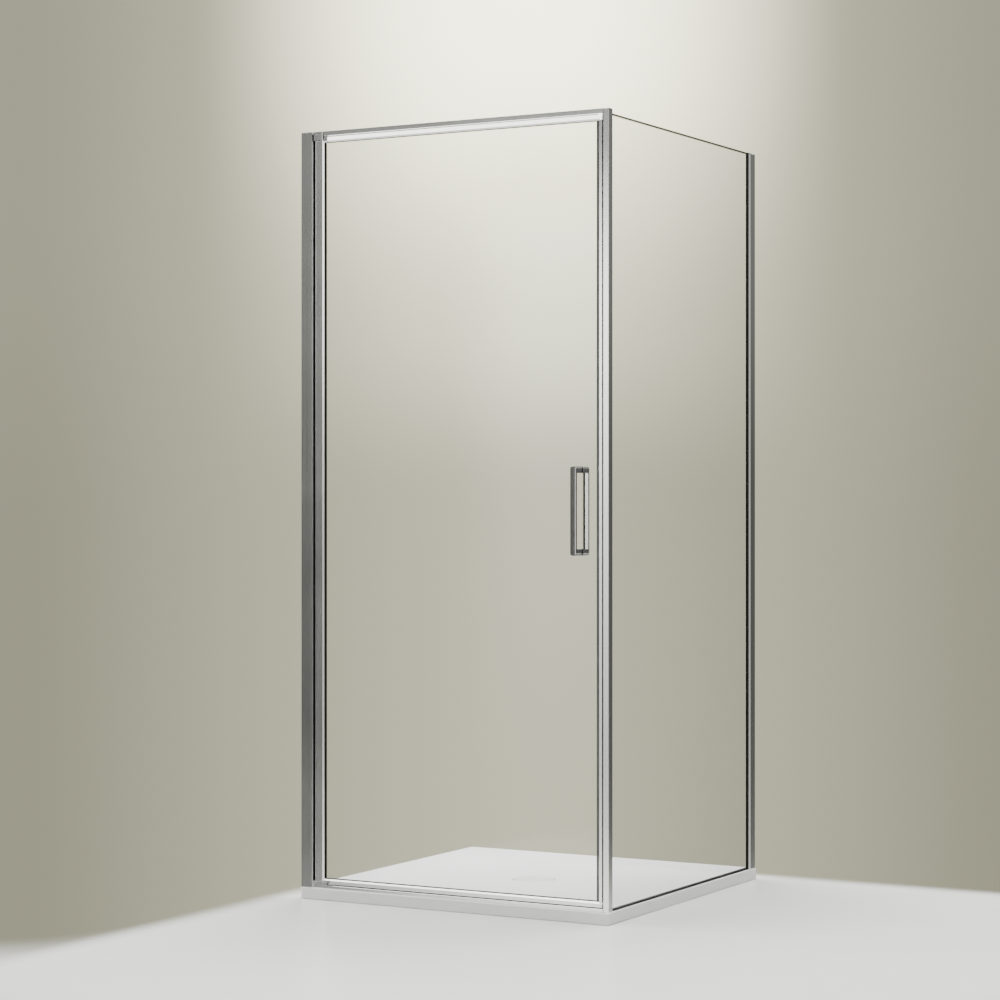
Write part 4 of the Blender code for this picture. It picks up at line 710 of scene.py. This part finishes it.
for node in ("door_hinge_stile", "door_lock_stile"):
    eased(node, stile, "door")
eased("door_top_rail", door_rail, "door", shaped=leaned)
eased("door_bottom_rail", door_rail, "door", shaped=dripped)
for node in ("door_corner_top", "door_corner_bottom"):
    eased(node, cast, "door")
eased("door_hinge_gasket", rubber, "door", width=0.0001)
eased("door_top_gasket", grey_rubber, "door", width=0.0001, shaped=flush_lipped)
eased("door_bottom_gasket", grey_rubber, "door", width=0.0001, shaped=raised_lipped)
eased("door_lock_gasket", grey_rubber, "door", width=0.0001, shaped=wide_lipped)
eased("door_magnet_strip", strip_rubber, "door", width=0.00015)
eased("door_wiper_seal", rubber, "door", width=0.00015)


def clear_glass(name, node):
    """Clear toughened float glass. Its ground edges look dark and green, because light runs far in them."""
    full_tint = 0.00434
    no_tint = 0.0062
    made = Finish(name, {"Transmission Weight": 1.0, "IOR": 1.52, "Roughness": 0.0})
    low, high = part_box(node)
    x, y, z = made.axes(made.place())
    wide = 0 if high.x - low.x > high.y - low.y else 1
    run = (x, y)[wide]
    edge_mask = 0.0
    for value, edge, inwards in (
        (run, low[wide], 1.0), (run, high[wide], -1.0), (z, low.z, 1.0), (z, high.z, -1.0),
    ):
        from_edge = (value - edge) * inwards
        edge_mask = edge_mask + (1.0 - made.step(from_edge, full_tint, no_tint))
    edge_mask = made.node("ShaderNodeClamp", None, {0: edge_mask})
    drift = made.noise(scale=2.0, detail=3.0)
    body = made.mix(drift, (0.975, 0.985, 0.98), (0.985, 0.99, 0.987))
    made.feed("Base Color", made.mix(edge_mask, body, (0.055, 0.062, 0.057)))
    made.feed("Roughness", 0.004 * drift + 0.10 * edge_mask)
    made.bump(made.noise(scale=1.2, detail=1.0), distance=0.00004, strength=0.5)
    return made


eased("door_glass", clear_glass("door_pane_glass", "door_glass"), "door", width=0.0001)


# Handles. Two D handles in polished chrome stand back to back on the pane, each on two feet with a thin
# black pad. Studs join them through clear sleeves that keep the steel off the glass.

sleeve_plastic = Finish("clear_sleeve", {"Transmission Weight": 0.8, "IOR": 1.46})
sleeve_flow = sleeve_plastic.noise(scale=200.0, detail=2.0)
sleeve_plastic.feed("Base Color", sleeve_plastic.mix(sleeve_flow, (0.80, 0.80, 0.80), (0.88, 0.88, 0.88)))
sleeve_plastic.feed("Roughness", 0.15 + 0.1 * sleeve_flow)
bar_thickness = 0.007
bar_skin = 0.0005
crown = 0.0009
crown_curve = 1.6
crown_strips = 10
relief_width = 0.0074
relief_depth = 0.0039
relief_flank = 0.0004
side_skin = 0.0001
edge_skin = 0.0003
handle_weld = 0.00025


def cut_round(work, x):
    """Adds edges all round a mesh where a plane across X meets it."""
    everything = work.verts[:] + work.edges[:] + work.faces[:]
    bmesh.ops.bisect_plane(work, geom=everything, plane_co=(x, 0, 0), plane_no=(1, 0, 0))


def crowned(work):
    """The outer bar's face curves away towards the hinge side."""
    low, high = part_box("handle_outer")
    for number in range(1, crown_strips):
        cut_round(work, low.x + (high.x - low.x) * number / crown_strips)
    for vert in work.verts:
        if vert.co.y < low.y + bar_skin:
            vert.co.y += crown * ((high.x - vert.co.x) / (high.x - low.x)) ** crown_curve


def relieved(work):
    """The inner bar's edge towards the glass is relieved on the hinge side, where fingers curl round it."""
    low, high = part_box("handle_inner")
    towards_glass = high.y - bar_thickness
    cut_round(work, low.x + relief_width)
    cut_round(work, low.x + relief_width + relief_flank)
    for vert in work.verts:
        if vert.co.x < low.x + side_skin and abs(vert.co.y - towards_glass) < edge_skin:
            vert.co.y += relief_depth


for node, width, shaped in (("handle_outer", 0.0006, crowned), ("handle_inner", 0.0004, relieved)):
    eased(node, chrome, "door", width, shaped, weld=handle_weld, upright_only=True)
for face in ("outer", "inner"):
    for end in ("upper", "lower"):
        eased(f"handle_washer_{face}_{end}", rubber, "door", width=0.0001)
for end in ("upper", "lower"):
    eased(f"handle_stud_{end}", steel, "door", width=0.0002)
    eased(f"handle_sleeve_{end}", sleeve_plastic, "door", width=0.0001)


# Side panel. A fixed toughened pane with a bare, polished top edge stands in a black seal on the tray,
# between the corner post and a bevelled channel on the back wall.

eased("side_glass", clear_glass("side_pane_glass", "side_glass"), "enclosure", width=0.0001)
for node in ("side_post_gasket", "side_wall_gasket", "side_bottom_seal"):
    eased(node, rubber, "enclosure", width=0.00015)
eased("wall_channel_side", upright, "enclosure")
eased("wall_channel_side_cap", cap_plastic, "enclosure")


# Studio. A pale floor ends where the walls of the corner would stand, before a warm grey backdrop. Metal
# and glass mirror a dim room with soft lights in it. One soft light hangs overhead, a weak one that nothing
# mirrors stands in front, and the camera is where the photograph was taken from.

floor_drop = 0.0005
floor_paint = Finish("pale_floor", {"IOR": 1.45, "Specular IOR Level": 0.25})
floor_x, floor_y = floor_paint.axes(floor_paint.place())[:2]
beyond_walls = (-floor_x).larger(floor_y)
aside, ahead = floor_x - 0.2, floor_y + 0.4
away = (aside * aside + ahead * ahead) ** 0.5
drift = floor_paint.noise(scale=1.5, detail=3.0)
floor_paint.feed("Base Color", floor_paint.mix(drift, (0.80, 0.80, 0.77), (0.84, 0.84, 0.81)))
floor_paint.feed("Roughness", 0.22 + 0.06 * drift)
shown = (1.0 - floor_paint.step(away, 1.3, 2.0)) * (1.0 - floor_paint.step(beyond_walls, 0.46, 0.58))
floor_paint.feed("Alpha", shown)
floor_rings = [(radius, 0.0) for radius in (0.0, 1.2, 2.4, 3.0)]
floor_mesh = lathe("floor", floor_rings, sides=96, middle=(0.0, 0.0, -floor_drop))
floor_mesh.materials.append(floor_paint.material)
for face in floor_mesh.polygons:
    if face.normal.z < 0:
        face.flip()
floor = bpy.data.objects.new("floor", floor_mesh)
floor.visible_glossy = False
bpy.context.scene.collection.objects.link(floor)

world = bpy.data.worlds.new("studio")
bpy.context.scene.world = world
world.use_nodes = True
world.node_tree.nodes.clear()
studio = Graph(world.node_tree)
sky_x, sky_y, sky_z = studio.axes(studio.node("ShaderNodeTexCoord", output="Generated"))
degrees = 180.0 / math.pi


def above(low, high):
    """0 in directions that point lower than low, 1 in those that point higher than high."""
    return studio.step(sky_z, low, high)


def band(value, start, full, fading, end):
    """1 from full to fading, 0 before start and after end, and soft steps between them."""
    return studio.step(value, start, full) * (1.0 - studio.step(value, fading, end))


def lit(colour, brightness):
    """A colour at a brightness that varies."""
    return studio.node("ShaderNodeVectorMath", {"operation": "SCALE"}, {0: colour, "Scale": brightness})


# What stands behind the object: a warm grey backdrop with a soft pool of light, which runs into the floor.
# Facing is in degrees from straight ahead, +Y, towards the left.
pool_facing = 28.7
facing = (-sky_x).arctan2(sky_y) * degrees
off_pool = abs(facing - pool_facing)
pool = (1.0 - studio.step(off_pool, 0.5, 7.5)) * (0.28 + 0.9 * above(0.0, 0.09) + 3.0 * above(0.07, 0.19))
wall = (0.55 + 0.08 * above(-0.02, 0.12)) * (1.0 - 0.3 * studio.step(off_pool, 6.0, 11.0))
floor_line = 0.014 * band(facing, 32.0, 40.0, 60.0, 90.0)
on_floor = 1.0 - studio.step(sky_z + floor_line, -0.160, -0.150)
backdrop = studio.mix(on_floor, lit((1.0, 0.975, 0.70), wall + pool), (1.30, 1.30, 1.20))

# What metal and glass mirror: a dim room with soft light at the front left, the front right and overhead.
# Turn is in degrees from straight out of the front, -Y, towards the left.
turn = (-sky_x).arctan2(-sky_y) * degrees
left_panel = band(turn, 4.0, 14.0, 28.2, 30.6) * (1.0 - above(0.098, 0.126)) * (
    0.70 + 1.1 * above(-0.12, 0.02) + 2.4 * above(0.01, 0.07)
)
left_room = band(turn, 20.0, 28.0, 32.0, 56.0) * (
    0.02 + 0.07 * above(-0.03, 0.06) + 0.11 * above(0.085, 0.125)
)
right_panel = band(turn, -85.0, -70.0, -45.0, -32.0) * (0.55 + 2.2 * above(0.02, 0.07))
right_room = band(turn, -140.0, -125.0, -100.0, -85.0) * 0.45
front = band(turn, -75.0, -50.0, 80.0, 100.0)
behind = 1.0 - studio.step(turn, -110.0, -100.0)
far_side = behind * studio.step(turn, -180.0, -165.0)
ceiling = above(0.24, 0.36) * 4.0 * (front + (1.0 - front) * above(0.80, 0.95))
ground = (1.0 - above(-0.30, -0.18)) * (0.1 + 1.4 * front)
near_ground = band(sky_z, -0.30, -0.20, -0.146, -0.138) * (1.0 - studio.step(turn, 31.4, 32.4))
near_ground = near_ground * (1.0 - behind) * 2.0
far_ground = band(sky_z, -0.30, -0.20, -0.157, -0.150) * far_side * 1.2
far_room = 0.10 * far_side * above(0.0, 0.10)
plain_room = 0.11 - 0.08 * band(turn, 58.0, 70.0, 105.0, 120.0)
mirrored = lit((1.0, 1.0, 0.94), (
    plain_room + left_panel + left_room + right_panel + right_room + far_room + ceiling + ground
    + near_ground + far_ground
))

# Rays that at most pass through glass see the backdrop, mirrored rays see the room, and the rays that light
# a matt face see an even grey
ray = studio.node("ShaderNodeLightPath", output="Is Camera Ray")
through = ray.larger(ray.output("Is Transmission Ray"))
matt = studio.step(ray.output("Diffuse Depth"), 0.1, 0.9)
gloss = studio.step(ray.output("Glossy Depth"), 0.1, 0.9)
around = studio.mix(gloss * (1.0 - matt), (0.36, 0.36, 0.35), mirrored)
colour = studio.mix(through * (1.0 - gloss) * (1.0 - matt), around, backdrop)
light = studio.node("ShaderNodeBackground", None, {"Color": colour, "Strength": 1.0})
studio.tree.links.new(light.socket, studio.tree.nodes.new("ShaderNodeOutputWorld").inputs[0])


def soft_light(name, place, aim, width, height, radiance, reflected):
    """A flat softbox, given by how bright it looks."""
    lamp = bpy.data.lights.new(name, "AREA")
    lamp.shape = "RECTANGLE"
    lamp.size, lamp.size_y = width, height
    lamp.energy = radiance * math.pi * width * height
    stand = bpy.data.objects.new(name, lamp)
    stand.location = place
    stand.rotation_euler = (Vector(aim) - Vector(place)).to_track_quat("-Z", "Y").to_euler()
    stand.visible_camera = False
    stand.visible_transmission = False
    stand.visible_glossy = reflected
    bpy.context.scene.collection.objects.link(stand)


soft_light(
    "overhead", (0.0, 0.1, 4.2), aim=(0.0, 0.1, 0.0),
    width=2.6, height=2.6, radiance=33.0, reflected=True,
)
soft_light(
    "front_fill", (-0.6, -4.6, 1.8), aim=(0.1, 0.0, 0.9),
    width=3.0, height=2.6, radiance=1.15, reflected=False,
)

camera = bpy.data.cameras.new("camera")
camera.lens = 92.738
camera.sensor_width = 36.0
camera.shift_y = 0.00126
camera.clip_end = 60.0
viewer = bpy.data.objects.new("camera", camera)
viewer.location = (3.2864, -6.0621, 1.0371)
viewer.rotation_euler = (math.radians(90.0), 0.0, math.radians(29.186))
bpy.context.scene.collection.objects.link(viewer)
bpy.context.scene.camera = viewer
